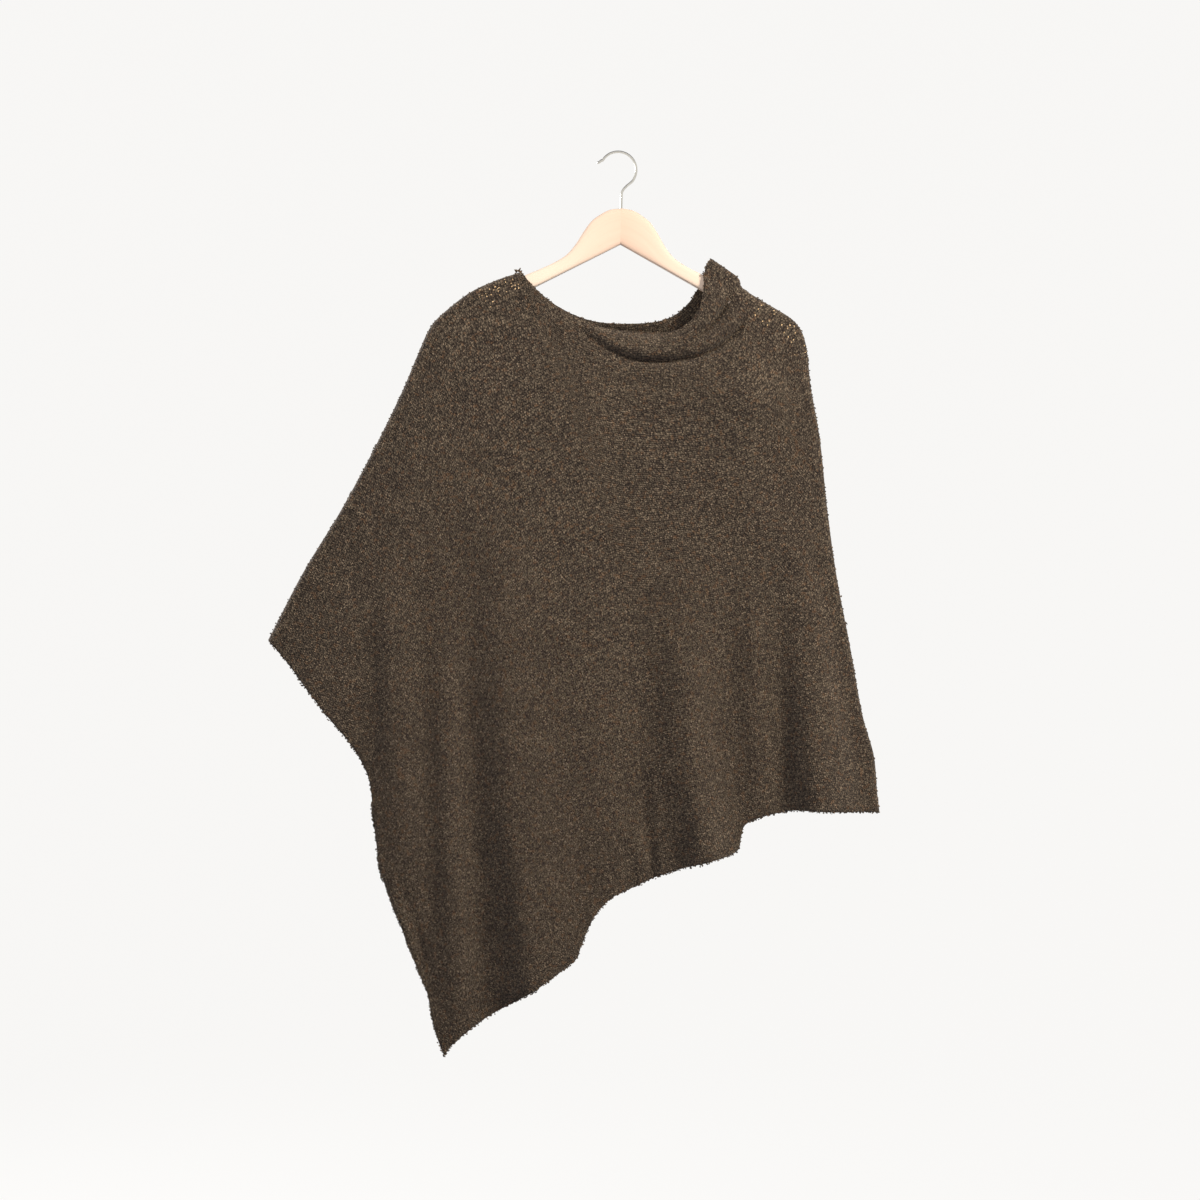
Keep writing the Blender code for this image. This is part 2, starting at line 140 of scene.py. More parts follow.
# %% The sides of the two panels
SEAM_EDGE = in_metres(
    (-424, -589), (-382, -508), (-337, -434), (-298, -362), (-264, -293), (-244, -246),
    (-228, -211), (-208, -190), (-177, -167), (-143, -152), (-118, -144),
)
FOLD_EDGE = in_metres(
    (113, -128), (129, -139), (145, -151), (150, -163), (171, -177), (203, -196), (216, -207),
    (224, -221), (229, -244), (233, -284), (244, -347), (253, -432), (264, -511), (280, -595),
    (295, -678), (309, -728), (313, -771), (316, -797),
)
FRONT_NECK = in_metres(
    (-118, -144), (-103, -163), (-77, -185), (-47, -201), (-18, -213), (20, -218), (55, -220),
    (79, -213), (95, -196), (102, -174), (103, -151), (106, -136), (113, -128),
)
BACK_NECK = in_metres(
    (-118, -144), (-103, -162), (-77, -184), (-47, -198), (-18, -205), (20, -206), (48, -203),
    (70, -194), (87, -178), (99, -158), (106, -139), (113, -128),
)
HEM = in_metres(
    (-210, -1090), (-197, -1073), (-168, -1050), (-129, -1026), (-93, -1002), (-62, -980),
    (-50, -970), (-47, -961), (-39, -940), (-28, -919), (-9, -899), (16, -887), (50, -872),
    (101, -855), (133, -847), (144, -840), (147, -826), (152, -812), (167, -804), (184, -799),
    (220, -793), (268, -795), (316, -797),
)
BACK_HEM_DROP = in_metres(
    0, -2, -4, -3, 0, 2, 2, 1, 0, -2, -3, -2, 1, 0, -3, -3, -2, 0, 1, 2, 2, 0, 0,
)
FRONT_LEFT = in_metres(
    (-424, -589), (-394, -623), (-356, -674), (-322, -716), (-304, -747), (-298, -768),
    (-296, -790), (-291, -819), (-289, -843), (-285, -868), (-276, -892), (-269, -912),
    (-259, -935), (-251, -960), (-241, -989), (-231, -1013), (-226, -1037), (-220, -1063),
    (-210, -1090),
)
BACK_LEFT = in_metres(
    (-424, -589), (-394, -623), (-356, -674), (-322, -716), (-304, -749), (-299, -777),
    (-300, -797), (-296, -819), (-293, -843), (-290, -868), (-281, -892), (-274, -914),
    (-263, -940), (-255, -964), (-244, -989), (-233, -1013), (-227, -1037), (-221, -1063),
    (-210, -1090),
)
WALL = 3.0 * MM
# The real oblong, laid flat: twice this width across, this length from the seam to the hem.
FLAT_WIDTH = 0.81
FLAT_LENGTH = 0.70

Sides = namedtuple("Sides", "seam neck fold hem left")


def panel_sides(neck, hem, left):
    """The five sides as smooth lines that meet at the corners, the closed ones moved in by half a wall."""
    seam = moved_inwards(smooth_line(SEAM_EDGE), WALL / 2)
    fold = moved_inwards(smooth_line(FOLD_EDGE), WALL / 2)
    neck = np.vstack([seam[-1], neck[1:-1], fold[0]])
    hem = np.vstack([hem[:-1], fold[-1]])
    left = np.vstack([seam[0], left[1:]])
    return Sides(seam, smooth_line(neck), fold, smooth_line(hem), smooth_line(left))


front_sides = panel_sides(FRONT_NECK, HEM, FRONT_LEFT)
back_sides = panel_sides(BACK_NECK, HEM - np.stack([0 * BACK_HEM_DROP, BACK_HEM_DROP], axis=1), BACK_LEFT)
for side_name, line in front_sides._asdict().items():
    print(f"front {side_name}: {steps_of(line).sum():.3f} m")

# %% [markdown]
# ## Folds
#
# A fold is a ridge: a line of (x, z, height) down the cloth and a bell-shaped slope on each side. Cloth
# simulation could make folds too, but these must lie where the real ones lie, so each is placed one by one.
# Hollows have a negative height. The back has folds of its own, as uneven as the front's.

# %% The folds
Fold = namedtuple("Fold", "name left_width right_width ridge")


def fold_rows(*rows):
    """Each row is a name, the widths of the left and right slopes, and the ridge's (x, z, height)."""
    return [Fold(name, left, right, in_metres(*ridge)) for name, left, right, *ridge in rows]


FRONT_FOLDS = fold_rows(
    ("corner", 30, 34, (-330, -470, 0), (-366, -620, 5), (-380, -700, 6)),
    ("left", 22, 26, (-276, -470, 0), (-270, -600, 10), (-268, -700, 13), (-262, -800, 9), (-256, -940, 5)),
    ("slight left", 18, 18, (-206, -540, 0), (-207, -640, 9), (-204, -800, 12), (-197, -960, 13),
     (-192, -1060, 9)),
    ("hollow beside broad", 18, 16, (-182, -460, 0), (-180, -640, -3), (-170, -860, -5), (-161, -1040, -5)),
    ("broad", 31, 62, (-148, -380, 0), (-140, -490, 8), (-134, -600, 15), (-128, -730, 20),
     (-117, -860, 25), (-100, -1000, 31)),
    ("broad, right half", 40, 34, (-36, -480, 0), (-26, -700, 8), (-12, -900, 8)),
    ("hollow in the middle", 24, 16, (38, -560, 0), (42, -700, -4), (44, -890, -5)),
    ("middle", 29, 30, (74, -480, 0), (82, -600, 9), (87, -720, 18), (96, -800, 25), (106, -860, 30)),
    ("slight right", 15, 20, (158, -480, 0), (163, -620, 8), (164, -700, 8), (168, -800, 4)),
    ("right", 30, 44, (216, -420, 0), (227, -580, 13), (235, -700, 23), (242, -810, 29)),
    ("chest swell", 26, 44, (-10, -272, 0), (70, -272, 4), (135, -282, 7), (190, -300, 3)),
    ("neck roll", 20, 7, (121, -138, 2), (123, -160, 5), (118, -184, 8), (104, -207, 10), (80, -231, 10),
     (44, -244, 9), (10, -240, 8), (-16, -226, 5), (-40, -209, 2), (-62, -194, 0)),
    ("second roll", 9, 7, (162, -170, 0), (153, -188, 5), (140, -206, 8), (120, -225, 8), (96, -239, 6),
     (72, -247, 0)),
    ("crease under the roll", 12, 5, (-62, -206, 0), (-50, -213, -1), (-23, -231, -2), (8, -247, -3),
     (40, -253, -4), (70, -252, -5), (98, -245, -6), (122, -234, -5), (142, -218, -4), (158, -200, 0)),
)
BACK_FOLDS = fold_rows(
    ("corner", 32, 34, (-330, -470, 0), (-364, -620, 6), (-376, -700, 7)),
    ("left", 32, 26, (-250, -440, 0), (-246, -640, 15), (-240, -860, 24), (-232, -1010, 22)),
    ("slight left", 20, 20, (-182, -560, 0), (-176, -760, 7), (-168, -1040, 9)),
    ("broad", 36, 40, (-100, -420, 0), (-96, -640, 14), (-92, -860, 25), (-88, -1000, 31)),
    ("slight middle", 24, 24, (-12, -560, 0), (-8, -720, 9), (-2, -900, 11)),
    ("middle", 32, 28, (76, -470, 0), (80, -650, 15), (84, -880, 26)),
    ("right", 30, 34, (170, -440, 0), (180, -640, 14), (190, -800, 23)),
    ("slight right", 22, 24, (250, -560, 0), (262, -700, 9), (272, -800, 11)),
    ("neck swell", 20, 24, (-70, -214, 0), (-20, -232, 6), (40, -234, 8), (104, -198, 0)),
    ("shoulder drape", 26, 26, (-60, -270, 0), (20, -292, 5), (110, -280, 6), (180, -250, 0)),
)
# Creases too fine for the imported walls.
FRONT_CREASES = fold_rows(
    ("crease between the rolls", 5, 5, (146, -156, -3), (139, -172, -9), (130, -187, -11), (117, -203, -10),
     (100, -219, -8), (82, -234, -4), (60, -243, 0)),
    ("line under the roll", 4, 4, (-64, -206, 0), (-50, -213, -1), (-23, -231, -2), (8, -247, -4),
     (40, -253, -6), (72, -252, -7), (102, -244, -7), (119, -236, -8), (134, -225, -7), (147, -211, -5),
     (158, -195, 0)),
    ("neck edge falls back", 7, 7, (-96, -168, 0), (-76, -184, -3), (-40, -203, -5), (0, -215, -6),
     (40, -218, -6), (66, -216, 0)),
    ("lifted left edge", 7, 8, (-270, -850, 0), (-256, -900, -3), (-241, -950, -4), (-229, -1000, -2),
     (-220, -1040, 0)),
    ("slight left, foot", 18, 18, (-197, -950, 0), (-194, -1005, -4), (-191, -1060, -5)),
    ("middle, nearer", 20, 26, (82, -600, 0), (89, -720, 4), (97, -800, 6), (107, -862, 7)),
    ("right, nearer", 22, 32, (220, -540, 0), (231, -680, 6), (240, -800, 9)),
    ("chest gleam", 34, 28, (66, -284, 0), (105, -294, 4), (140, -296, 6), (172, -286, 4), (198, -266, 0)),
    ("left of middle", 20, 18, (62, -520, 0), (60, -640, 4), (58, -760, 6), (62, -870, 6)),
    ("ear ridge", 6, 6, (131, -146, 0), (131, -160, 2), (124, -178, 3), (110, -196, 2), (92, -212, 0)),
    ("sag below", 12, 14, (-40, -266, 0), (10, -280, -2), (70, -284, -3), (130, -268, -2), (160, -240, 0)),
    ("left draw", 12, 14, (-120, -170, 0), (-104, -200, -2), (-70, -236, -2), (-30, -266, 0)),
    ("shoulder pull", 20, 22, (196, -216, 0), (176, -262, 2), (150, -320, 3), (132, -400, 0)),
    ("side pull", 16, 20, (-214, -214, 0), (-222, -280, 2), (-250, -360, 3), (-280, -440, 0)),
    ("thin middle", 9, 10, (36, -700, 0), (44, -780, 4), (52, -880, 7)),
    ("thinner middle", 8, 8, (16, -800, 0), (26, -845, 6), (32, -884, 7)),
    ("right hollow", 14, 12, (196, -520, 0), (199, -640, -3), (200, -740, -5), (202, -800, -4)),
    ("corner hollow", 14, 12, (-300, -500, 0), (-296, -600, -3), (-296, -720, -3)),
    ("hem flick", 12, 12, (-150, -1010, 0), (-140, -1036, -4)),
)
BACK_CREASES = fold_rows(
    ("left edge leans forward", 15, 15, (-300, -760, 0), (-297, -820, -5), (-286, -880, -8),
     (-262, -945, -12), (-240, -1000, -13), (-226, -1045, -9)),
    ("neck edge comes forward", 9, 9, (-96, -168, 0), (-76, -182, -3), (-40, -199, -6), (0, -205, -7),
     (40, -204, -6), (74, -190, 0)),
    ("left draw", 12, 14, (-120, -172, 0), (-96, -214, -3), (-50, -252, -2), (0, -274, 0)),
    ("ear crease", 7, 8, (150, -164, -2), (138, -184, -4), (120, -208, -3), (92, -230, 0)),
    ("shoulder pull", 18, 22, (190, -214, 0), (168, -270, 3), (150, -340, 2), (140, -410, 0)),
    ("side pull", 17, 20, (-210, -212, 0), (-226, -290, 3), (-262, -380, 2), (-290, -450, 0)),
    ("thin left", 9, 10, (-206, -600, 0), (-204, -760, -4), (-196, -980, -3)),
    ("thin middle", 10, 9, (34, -560, 0), (36, -700, -4), (40, -860, -5)),
    ("thin right", 9, 11, (132, -520, 0), (134, -660, -4), (138, -820, -5)),
    ("right hollow", 12, 12, (222, -520, 0), (226, -660, -4), (232, -790, -5)),
)


def relief_of(folds, x, z):
    """Sum over the folds of height times the bell of the distance to the ridge."""
    total = np.zeros_like(x)
    for fold in folds:
        ridge = smooth_line(fold.ridge, 4)
        distance, place, side = nearest_on(ridge, x, z)
        height = np.interp(place, np.arange(len(ridge)), ridge[:, 2])
        width = np.where(side > 0, fold.right_width, fold.left_width) * MM
        total += height * bell(distance, width)
    return total


def unevenness(x, z, seed, waves=26, height=0.45 * MM):
    """Cloth is never flat: a sum of sine waves 25 to 110 mm long in all directions, the long ones highest."""
    chance = np.random.default_rng(seed)
    length = chance.uniform(0.025, 0.11, waves)
    turn = chance.uniform(0, math.pi, waves)
    phase = chance.uniform(0, 2 * math.pi, waves)
    total = np.zeros_like(x)
    for wave in range(waves):
        across = x * np.cos(turn[wave]) + z * np.sin(turn[wave])
        total += np.sin(2 * math.pi * across / length[wave] + phase[wave]) * length[wave] / 0.07
    return total * height / math.sqrt(waves / 2)


print("front folds", len(FRONT_FOLDS + FRONT_CREASES), "back folds", len(BACK_FOLDS + BACK_CREASES))

# %% [markdown]
# ## The surface of a panel
#
# Knitting has rows and columns, and both bend with the cloth. So the surface is a function of two
# parameters: how far across a row, and how far down a column. A net between the four corners is pulled
# to each side's own line near that side, as a Coons patch is, but the pull fades sooner. Its depth
# rounds off to nothing at the seam and the fold, where front and back meet.

# %% Parameters to points
NECK_STARTS = 0.63
PANEL_WIDTH = 0.88
PANEL_LENGTH = 0.62
SEAM_GAP = 0.3 * MM
EDGE_RADIUS = 8.0 * MM
EDGE_LIP = 0.8 * MM
HALF_DEPTH_AT_EDGE = 8.5 * MM
HALF_DEPTH_OF_BODY = 14.0 * MM
BODY_DEPTH_REACHED_AFTER = 90.0 * MM
FOLDS_START_AT = 6.0 * MM
FOLDS_FULL_AT = 40.0 * MM
UNEVEN_FULL_AT = 20.0 * MM
# The seam allowance makes a soft roll along the seam, with a groove below it.
SEAM_ROLL = 1.8 * MM
ROLL_AT, GROOVE_AT, ROLL_WIDTH = 5 * MM, 12 * MM, 3 * MM
# Each side's line pulls on the net by the share of the way from the opposite side, to these powers.
TOP_PULL, HEM_PULL, LEFT_PULL, FOLD_PULL = 1.5, 2, 2, 4
# Columns near the neck's start lie further left, most of all a seventh of the way down.
NECK_DRAW, NECK_DRAW_AT, NECK_DRAW_WIDTH, NECK_DRAW_FADE = 0.33, 0.69, 0.08, 6
# Rows are close together as far down as this.
CLOSE_ROWS_END = 0.17
# Distances of the grid's lines from a closed edge. The outermost one closes the gap to the other panel.
CLOSED_EDGE = in_metres(0, 0, 0.3, 0.9, 1.8, 3.0, 4.5, 6.2, 8.0)


def laid_between(sides, across, down):
    """Net of straight lines between corners, plus each side's departure from straight, faded inwards."""
    u, v = across[..., None], down[..., None]
    on_seam = at_fractions(sides.seam, np.clip(across / NECK_STARTS, 0, 1))
    on_neck = at_fractions(sides.neck, np.clip((across - NECK_STARTS) / (1 - NECK_STARTS), 0, 1))
    straight_top = (1 - u) * sides.seam[0] + u * sides.fold[0]
    straight_hem = (1 - u) * sides.hem[0] + u * sides.hem[-1]
    straight_left = (1 - v) * sides.seam[0] + v * sides.hem[0]
    straight_right = (1 - v) * sides.fold[0] + v * sides.hem[-1]
    net = (1 - v) * straight_top + v * straight_hem
    net += (1 - v) ** TOP_PULL * (np.where(u <= NECK_STARTS, on_seam, on_neck) - straight_top)
    net += v**HEM_PULL * (at_fractions(sides.hem, across) - straight_hem)
    net += (1 - u) ** LEFT_PULL * (at_fractions(sides.left, down) - straight_left)
    net += u**FOLD_PULL * (at_fractions(sides.fold, down) - straight_right)
    draw = NECK_DRAW * bell(across - NECK_DRAW_AT, NECK_DRAW_WIDTH)
    net[..., 0] -= draw * down * (1 - down) ** NECK_DRAW_FADE
    return net


def panel_points(sides, folds, seed, outwards, across, down):
    """Middle of the wall. Depth is a quarter ellipse at a closed edge, then a slow swell, plus the folds."""
    across, down = np.meshgrid(across, down)
    open_top = across > NECK_STARTS
    down[1] = np.where(open_top[1], CLOSED_EDGE[2] / PANEL_LENGTH, 0)
    place = laid_between(sides, across, down)
    x, z = place[..., 0], place[..., 1]
    from_seam = nearest_on(sides.seam, x, z)[0]
    distance = np.minimum(from_seam, nearest_on(sides.fold, x, z)[0])
    turn = np.sqrt(1 - (1 - np.clip(distance / EDGE_RADIUS, 0, 1)) ** 2)
    depth = EDGE_LIP + (HALF_DEPTH_AT_EDGE - EDGE_LIP) * turn
    depth += (HALF_DEPTH_OF_BODY - HALF_DEPTH_AT_EDGE) * smooth_step(distance / BODY_DEPTH_REACHED_AFTER)
    full = smooth_step((distance - FOLDS_START_AT) / (FOLDS_FULL_AT - FOLDS_START_AT))
    depth += relief_of(folds, x, z) * full + unevenness(x, z, seed) * smooth_step(distance / UNEVEN_FULL_AT)
    depth += SEAM_ROLL * (bell(from_seam - ROLL_AT, ROLL_WIDTH) - bell(from_seam - GROOVE_AT, ROLL_WIDTH))
    depth[0] = np.where(open_top[0], depth[0], SEAM_GAP / 2)
    depth[:, -1] = SEAM_GAP / 2
    return np.stack([x, outwards * depth, z], axis=-1), across, down


def steps_between(start, end, step):
    """Even steps from start up to, but not including, end."""
    return np.linspace(start, end, max(2, round((end - start) / step)), endpoint=False)


def panel_lines():
    """Fractions across and down: 5.5 mm apart, about half that by the neck, and closer at the closed edges."""
    wide, fine = in_metres(5.5, 2.7)
    right = 1 - CLOSED_EDGE[::-1] / PANEL_WIDTH
    across = [
        steps_between(0, 0.5, wide / PANEL_WIDTH),
        steps_between(0.5, NECK_STARTS, 1.3 * fine / PANEL_WIDTH),
        steps_between(NECK_STARTS, right[0], 1.2 * fine / PANEL_WIDTH),
        right,
    ]
    top = CLOSED_EDGE / PANEL_LENGTH
    down = [
        top[:-1],
        steps_between(top[-1], CLOSE_ROWS_END, fine / PANEL_LENGTH),
        np.linspace(CLOSE_ROWS_END, 1, round((1 - CLOSE_ROWS_END) * PANEL_LENGTH / wide)),
    ]
    return np.concatenate(across), np.concatenate(down)


def normals_of(points, outwards):
    """Cross product of the steps along rows and columns, turned outwards."""
    along_row = np.gradient(points, axis=1)
    down_column = np.gradient(points, axis=0)
    normal = np.cross(down_column, along_row) * -outwards
    length = np.linalg.norm(normal, axis=-1, keepdims=True)
    return normal / np.maximum(length, 1e-12)


cloth_lines = panel_lines()
Panel = namedtuple("Panel", "points normals across down outwards")


def make_surface(sides, folds, seed, outwards):
    """A panel: its middle surface, its normals and the fractions across and down of each point."""
    points, across, down = panel_points(sides, folds, seed, outwards, *cloth_lines)
    return Panel(points, normals_of(points, outwards), across, down, outwards)


front = make_surface(front_sides, FRONT_FOLDS + FRONT_CREASES, 11, -1)
back = make_surface(back_sides, BACK_FOLDS + BACK_CREASES, 23, 1)
print("grid", front.points.shape[:2], "front depth mm", front.points[..., 1].min() / MM)

# %% [markdown]
# ## From arrays to meshes
#
# A mesh is an array of points and an array of corner numbers. `foreach_set` copies whole arrays into
# Blender at once, which is far quicker than a loop over points.

# %% Mesh helpers
def new_piece(name, points, faces, finish, uv=None, **values):
    """A smooth-shaded object from points (n, 3) and faces (m, k). values are one number for each point."""
    mesh = bpy.data.meshes.new(name)
    mesh.vertices.add(len(points))
    mesh.vertices.foreach_set("co", np.ascontiguousarray(points, np.float32).ravel())
    mesh.loops.add(faces.size)
    mesh.loops.foreach_set("vertex_index", faces.ravel().astype(np.int32))
    mesh.polygons.add(len(faces))
    mesh.polygons.foreach_set("loop_start", np.arange(len(faces), dtype=np.int32) * faces.shape[1])
    mesh.update(calc_edges=True)
    mesh.shade_smooth()
    if uv is not None:
        layer = mesh.uv_layers.new(name="surface")
        layer.data.foreach_set("uv", uv[faces.ravel()].astype(np.float32).ravel())
    for value_name, numbers in values.items():
        layer = mesh.attributes.new(value_name, "FLOAT", "POINT")
        layer.data.foreach_set("value", np.ascontiguousarray(numbers, np.float32))
    mesh.materials.append(finish)
    piece = bpy.data.objects.new(name, mesh)
    bpy.context.scene.collection.objects.link(piece)
    return piece


def grid_faces(rows, columns, closed=False):
    """Corner numbers of the quads of a grid. A closed grid joins its last column to its first."""
    number = np.arange(rows * columns).reshape(rows, columns)
    if closed:
        number = np.hstack([number, number[:, :1]])
    corners = (number[:-1, :-1], number[1:, :-1], number[1:, 1:], number[:-1, 1:])
    return np.stack(corners, axis=-1).reshape(-1, 4)


def halved(quads):
    """Two triangles for each quad."""
    return np.vstack([quads[:, [0, 1, 2]], quads[:, [0, 2, 3]]])


def triangles_in(piece):
    """A polygon of n corners counts as n - 2 triangles."""
    sizes = np.array([polygon.loop_total for polygon in piece.data.polygons])
    return int((sizes - 2).sum())


# %% [markdown]
# ## Writing materials as expressions
#
# A material is a graph of nodes. One small class wraps a node's output, so that sums and products of
# sockets can be written as they are on paper. Every other node comes from `node`.

# %% A class for sockets
def maths_method(operation, swapped=False):
    """A method that adds a Math node. A reflected operator swaps the node's inputs."""

    def method(self, other):
        first, second = (other, self) if swapped else (self, other)
        return self.finish.maths(operation, first, second)

    return method


class Socket:
    """An output of a node. +, -, *, < and > on it add Math nodes."""

    def __init__(self, finish, plug):
        self.finish, self.plug = finish, plug

    __add__ = __radd__ = maths_method("ADD")
    __mul__ = __rmul__ = maths_method("MULTIPLY")
    __sub__ = maths_method("SUBTRACT")
    __rsub__ = maths_method("SUBTRACT", swapped=True)
    __gt__ = maths_method("GREATER_THAN")
    __lt__ = maths_method("LESS_THAN")


class Finish:
    """A material with a Principled shader, and a way to add nodes to it."""

    def __init__(self, name, **constants):
        self.material = bpy.data.materials.new(name)
        self.material.use_nodes = True
        self.nodes = self.material.node_tree.nodes
        self.links = self.material.node_tree.links
        self.shader = self.nodes["Principled BSDF"]
        for socket, value in constants.items():
            self.shader.inputs[socket.replace("_", " ")].default_value = value

    def node(self, kind, settings=None, values=None):
        """Adds a node: its settings first, then the value or link of each socket."""
        made = self.nodes.new(kind)
        for setting, value in (settings or {}).items():
            if setting == "stops":
                self.set_stops(made.color_ramp, value)
            else:
                setattr(made, setting, value)
        for socket, value in (values or {}).items():
            self.put(made.inputs[socket], value)
        return {output.name: Socket(self, output) for output in made.outputs if output.enabled}

    def maths(self, operation, first, second=0.0):
        return self.node("ShaderNodeMath", {"operation": operation}, {0: first, 1: second})["Value"]

    def put(self, socket, value):
        if isinstance(value, Socket):
            self.links.new(value.plug, socket)
        else:
            socket.default_value = value

    def set_stops(self, ramp, stops):
        while len(ramp.elements) < len(stops):
            ramp.elements.new(1.0)
        for element, (position, colour) in zip(ramp.elements, stops):
            element.position = position
            element.color = (*colour, 1.0)

    def ramp(self, factor, *stops):
        return self.node("ShaderNodeValToRGB", {"stops": stops}, {"Fac": factor})["Color"]

    def noise(self, vector, scale, detail=2.0, roughness=0.5):
        values = {"Vector": vector, "Scale": scale, "Detail": detail, "Roughness": roughness}
        return self.node("ShaderNodeTexNoise", {}, values)["Fac"]

    def mapped(self, vector, scale):
        return self.node("ShaderNodeMapping", {}, {"Vector": vector, "Scale": scale})["Vector"]

    def spread(self, value, low, high, to_low=0.0, to_high=1.0):
        """Map Range: low to high becomes to_low to to_high, held at the ends."""
        values = {"Value": value, "From Min": low, "From Max": high, "To Min": to_low, "To Max": to_high}
        return self.node("ShaderNodeMapRange", {"clamp": True}, values)["Result"]

    def mix(self, factor, first, second):
        """The first colour where the factor is 0, the second where it is 1."""
        made = self.nodes.new("ShaderNodeMix")
        made.data_type = "RGBA"
        # Its colours are its seventh and eighth inputs and its third output.
        for number, value in ((0, factor), (6, first), (7, second)):
            self.put(made.inputs[number], value)
        return Socket(self, made.outputs[2])

    def bump(self, height, distance, strength=1.0):
        values = {"Height": height, "Distance": distance, "Strength": strength}
        self.put(self.shader.inputs["Normal"], self.node("ShaderNodeBump", {}, values)["Normal"])

    def colour(self, value):
        self.put(self.shader.inputs["Base Color"], value)


# %% [markdown]
# ## The yarn's colours
#
# The yarn is a heather: dark brown with olive, tan and a little rust spun in. Each tuft takes one tone,
# larger patches drift lighter and darker, and the pits between the tufts get painted shade, nearly black.

# %% The knit's finish
STITCH_ACROSS = 2.9 * MM
STITCH_DOWN = 2.7 * MM
DARK_YARN = (0.022, 0.016, 0.012)
BROWN_YARN = (0.070, 0.0490, 0.0335)
OLIVE_YARN = (0.100, 0.0755, 0.0495)
TAN_YARN = (0.250, 0.180, 0.118)
RUST_YARN = (0.150, 0.078, 0.038, 1.0)
# Painted shade: the near-black colour put into the pits between the stitches.
PAINTED_PIT_SHADE = (0.010, 0.0075, 0.006, 1.0)
SHOWING_WOOD = (0.62, 0.41, 0.21, 1.0)
HOLE_ACROSS, HOLE_DOWN, HOLE_SIZE = 4.3 * MM, 3.7 * MM, 0.19
WOOLLY = {"Sheen_Tint": (0.55, 0.45, 0.36, 1.0), "Specular_IOR_Level": 0.2}


def yarn_colour(finish, tone, place):
    """Tone picks dark, brown, olive or tan. Slow noise drifts it, and rust comes in small flecks."""
    drift = finish.noise(place, 26.0, 1.0)
    shade = tone + drift * 0.11 - 0.055
    plain = finish.ramp(
        shade, (0.18, DARK_YARN), (0.45, BROWN_YARN), (0.62, OLIVE_YARN), (0.88, TAN_YARN)
    )
    rust = finish.spread(finish.noise(place, 210.0, 0.0), 0.62, 0.74, 0.0, 0.5)
    return finish.mix(rust, plain, RUST_YARN)


def cells_on(finish, cloth, width, length, randomness):
    """Voronoi cells of this size: the distance from each one's middle, and its random red and green."""
    cells = finish.node(
        "ShaderNodeTexVoronoi", {"voronoi_dimensions": "2D", "feature": "F1"},
        {"Vector": finish.mapped(cloth, (1 / width, 1 / length, 1)), "Scale": 1.0, "Randomness": randomness},
    )
    return cells["Distance"], finish.node("ShaderNodeSeparateColor", {}, {"Color": cells["Color"]})


def knit_finish():
    """Cloth between the tufts: cells of a stitch each, with painted shade at their borders, on the piece's own
    UV.
    """
    finish = Finish("brown nubby knit", Roughness=0.92, Sheen_Weight=0.25, Sheen_Roughness=0.5, **WOOLLY)
    cloth = finish.node("ShaderNodeUVMap", {"uv_map": "surface"})["UV"]
    place = finish.node("ShaderNodeTexCoord")["Object"]
    from_stitch, chance = cells_on(finish, cloth, STITCH_ACROSS, STITCH_DOWN, 0.7)
    fibre = finish.noise(place, 480.0, 1.0, 0.6)
    # The pit mask gives both the real dip in the bump and the painted shade in the colour.
    pit_relief_and_painted_shade = finish.spread(from_stitch + fibre * 0.2, 0.36, 0.70)
    colour = yarn_colour(finish, chance["Red"] * 0.5 + fibre * 0.5, place)
    # Painted shade: the pits between the stitches are darkened towards near black.
    colour = finish.mix(pit_relief_and_painted_shade * 0.85, colour, PAINTED_PIT_SHADE)
    from_hole, chance = cells_on(finish, cloth, HOLE_ACROSS, HOLE_DOWN, 0.55)
    stretched = finish.node("ShaderNodeAttribute", {"attribute_name": "stretched"})["Fac"]
    showing = (chance["Green"] < stretched) * (from_hole < HOLE_SIZE)
    finish.colour(finish.mix(showing, colour, SHOWING_WOOD))
    finish.bump((1 - pit_relief_and_painted_shade) * 0.8 + fibre * 0.35, 1.1 * MM, 0.9)
    return finish.material


def tuft_finish():
    """One tone for each tuft, with lighter and darker fibres 2 mm apart across it."""
    finish = Finish("brown yarn tufts", Roughness=0.95, Sheen_Weight=0.3, Sheen_Roughness=0.45, **WOOLLY)
    place = finish.node("ShaderNodeTexCoord")["Object"]
    tone = finish.node("ShaderNodeAttribute", {"attribute_name": "tone"})["Fac"]
    fibre = finish.noise(place, 520.0, 1.0, 0.6)
    finish.colour(yarn_colour(finish, tone + (fibre - 0.5), place))
    finish.bump(fibre, 1.2 * MM, 0.8)
    return finish.material


knit = knit_finish()
tufts_knit = tuft_finish()
print("finishes", knit.name, "and", tufts_knit.name)

# %% [markdown]
# ## The two panels
#
# Each panel is a thin wall on the surface worked out above. Over the ends of the hanger the knitting is
# stretched, and pale wood shows through its holes there, so every point carries how stretched it is.

# %% Cloth walls
CLOTH_WALL = 2.4 * MM
Stretch = namedtuple("Stretch", "line width most")
STRETCHED = (
    Stretch(in_metres((-163, -172), (-142, -164), (-124, -160)), 7, 0.55),
    Stretch(in_metres((-160, -184), (-146, -182)), 6, 0.4),
    Stretch(in_metres((172, -194), (198, -212), (218, -228)), 10, 0.2),
    Stretch(in_metres((206, -222), (222, -240)), 7, 0.24),
)


def stretched_at(points):
    """The most of each stretched line's own bell around it."""
    x, z = points[..., 0], points[..., 2]
    found = np.zeros_like(x)
    for stretch in STRETCHED:
        distance = nearest_on(smooth_line(stretch.line, 4), x, z)[0]
        found = np.maximum(found, stretch.most * np.exp(-((distance / (stretch.width * MM)) ** 4)))
    return found


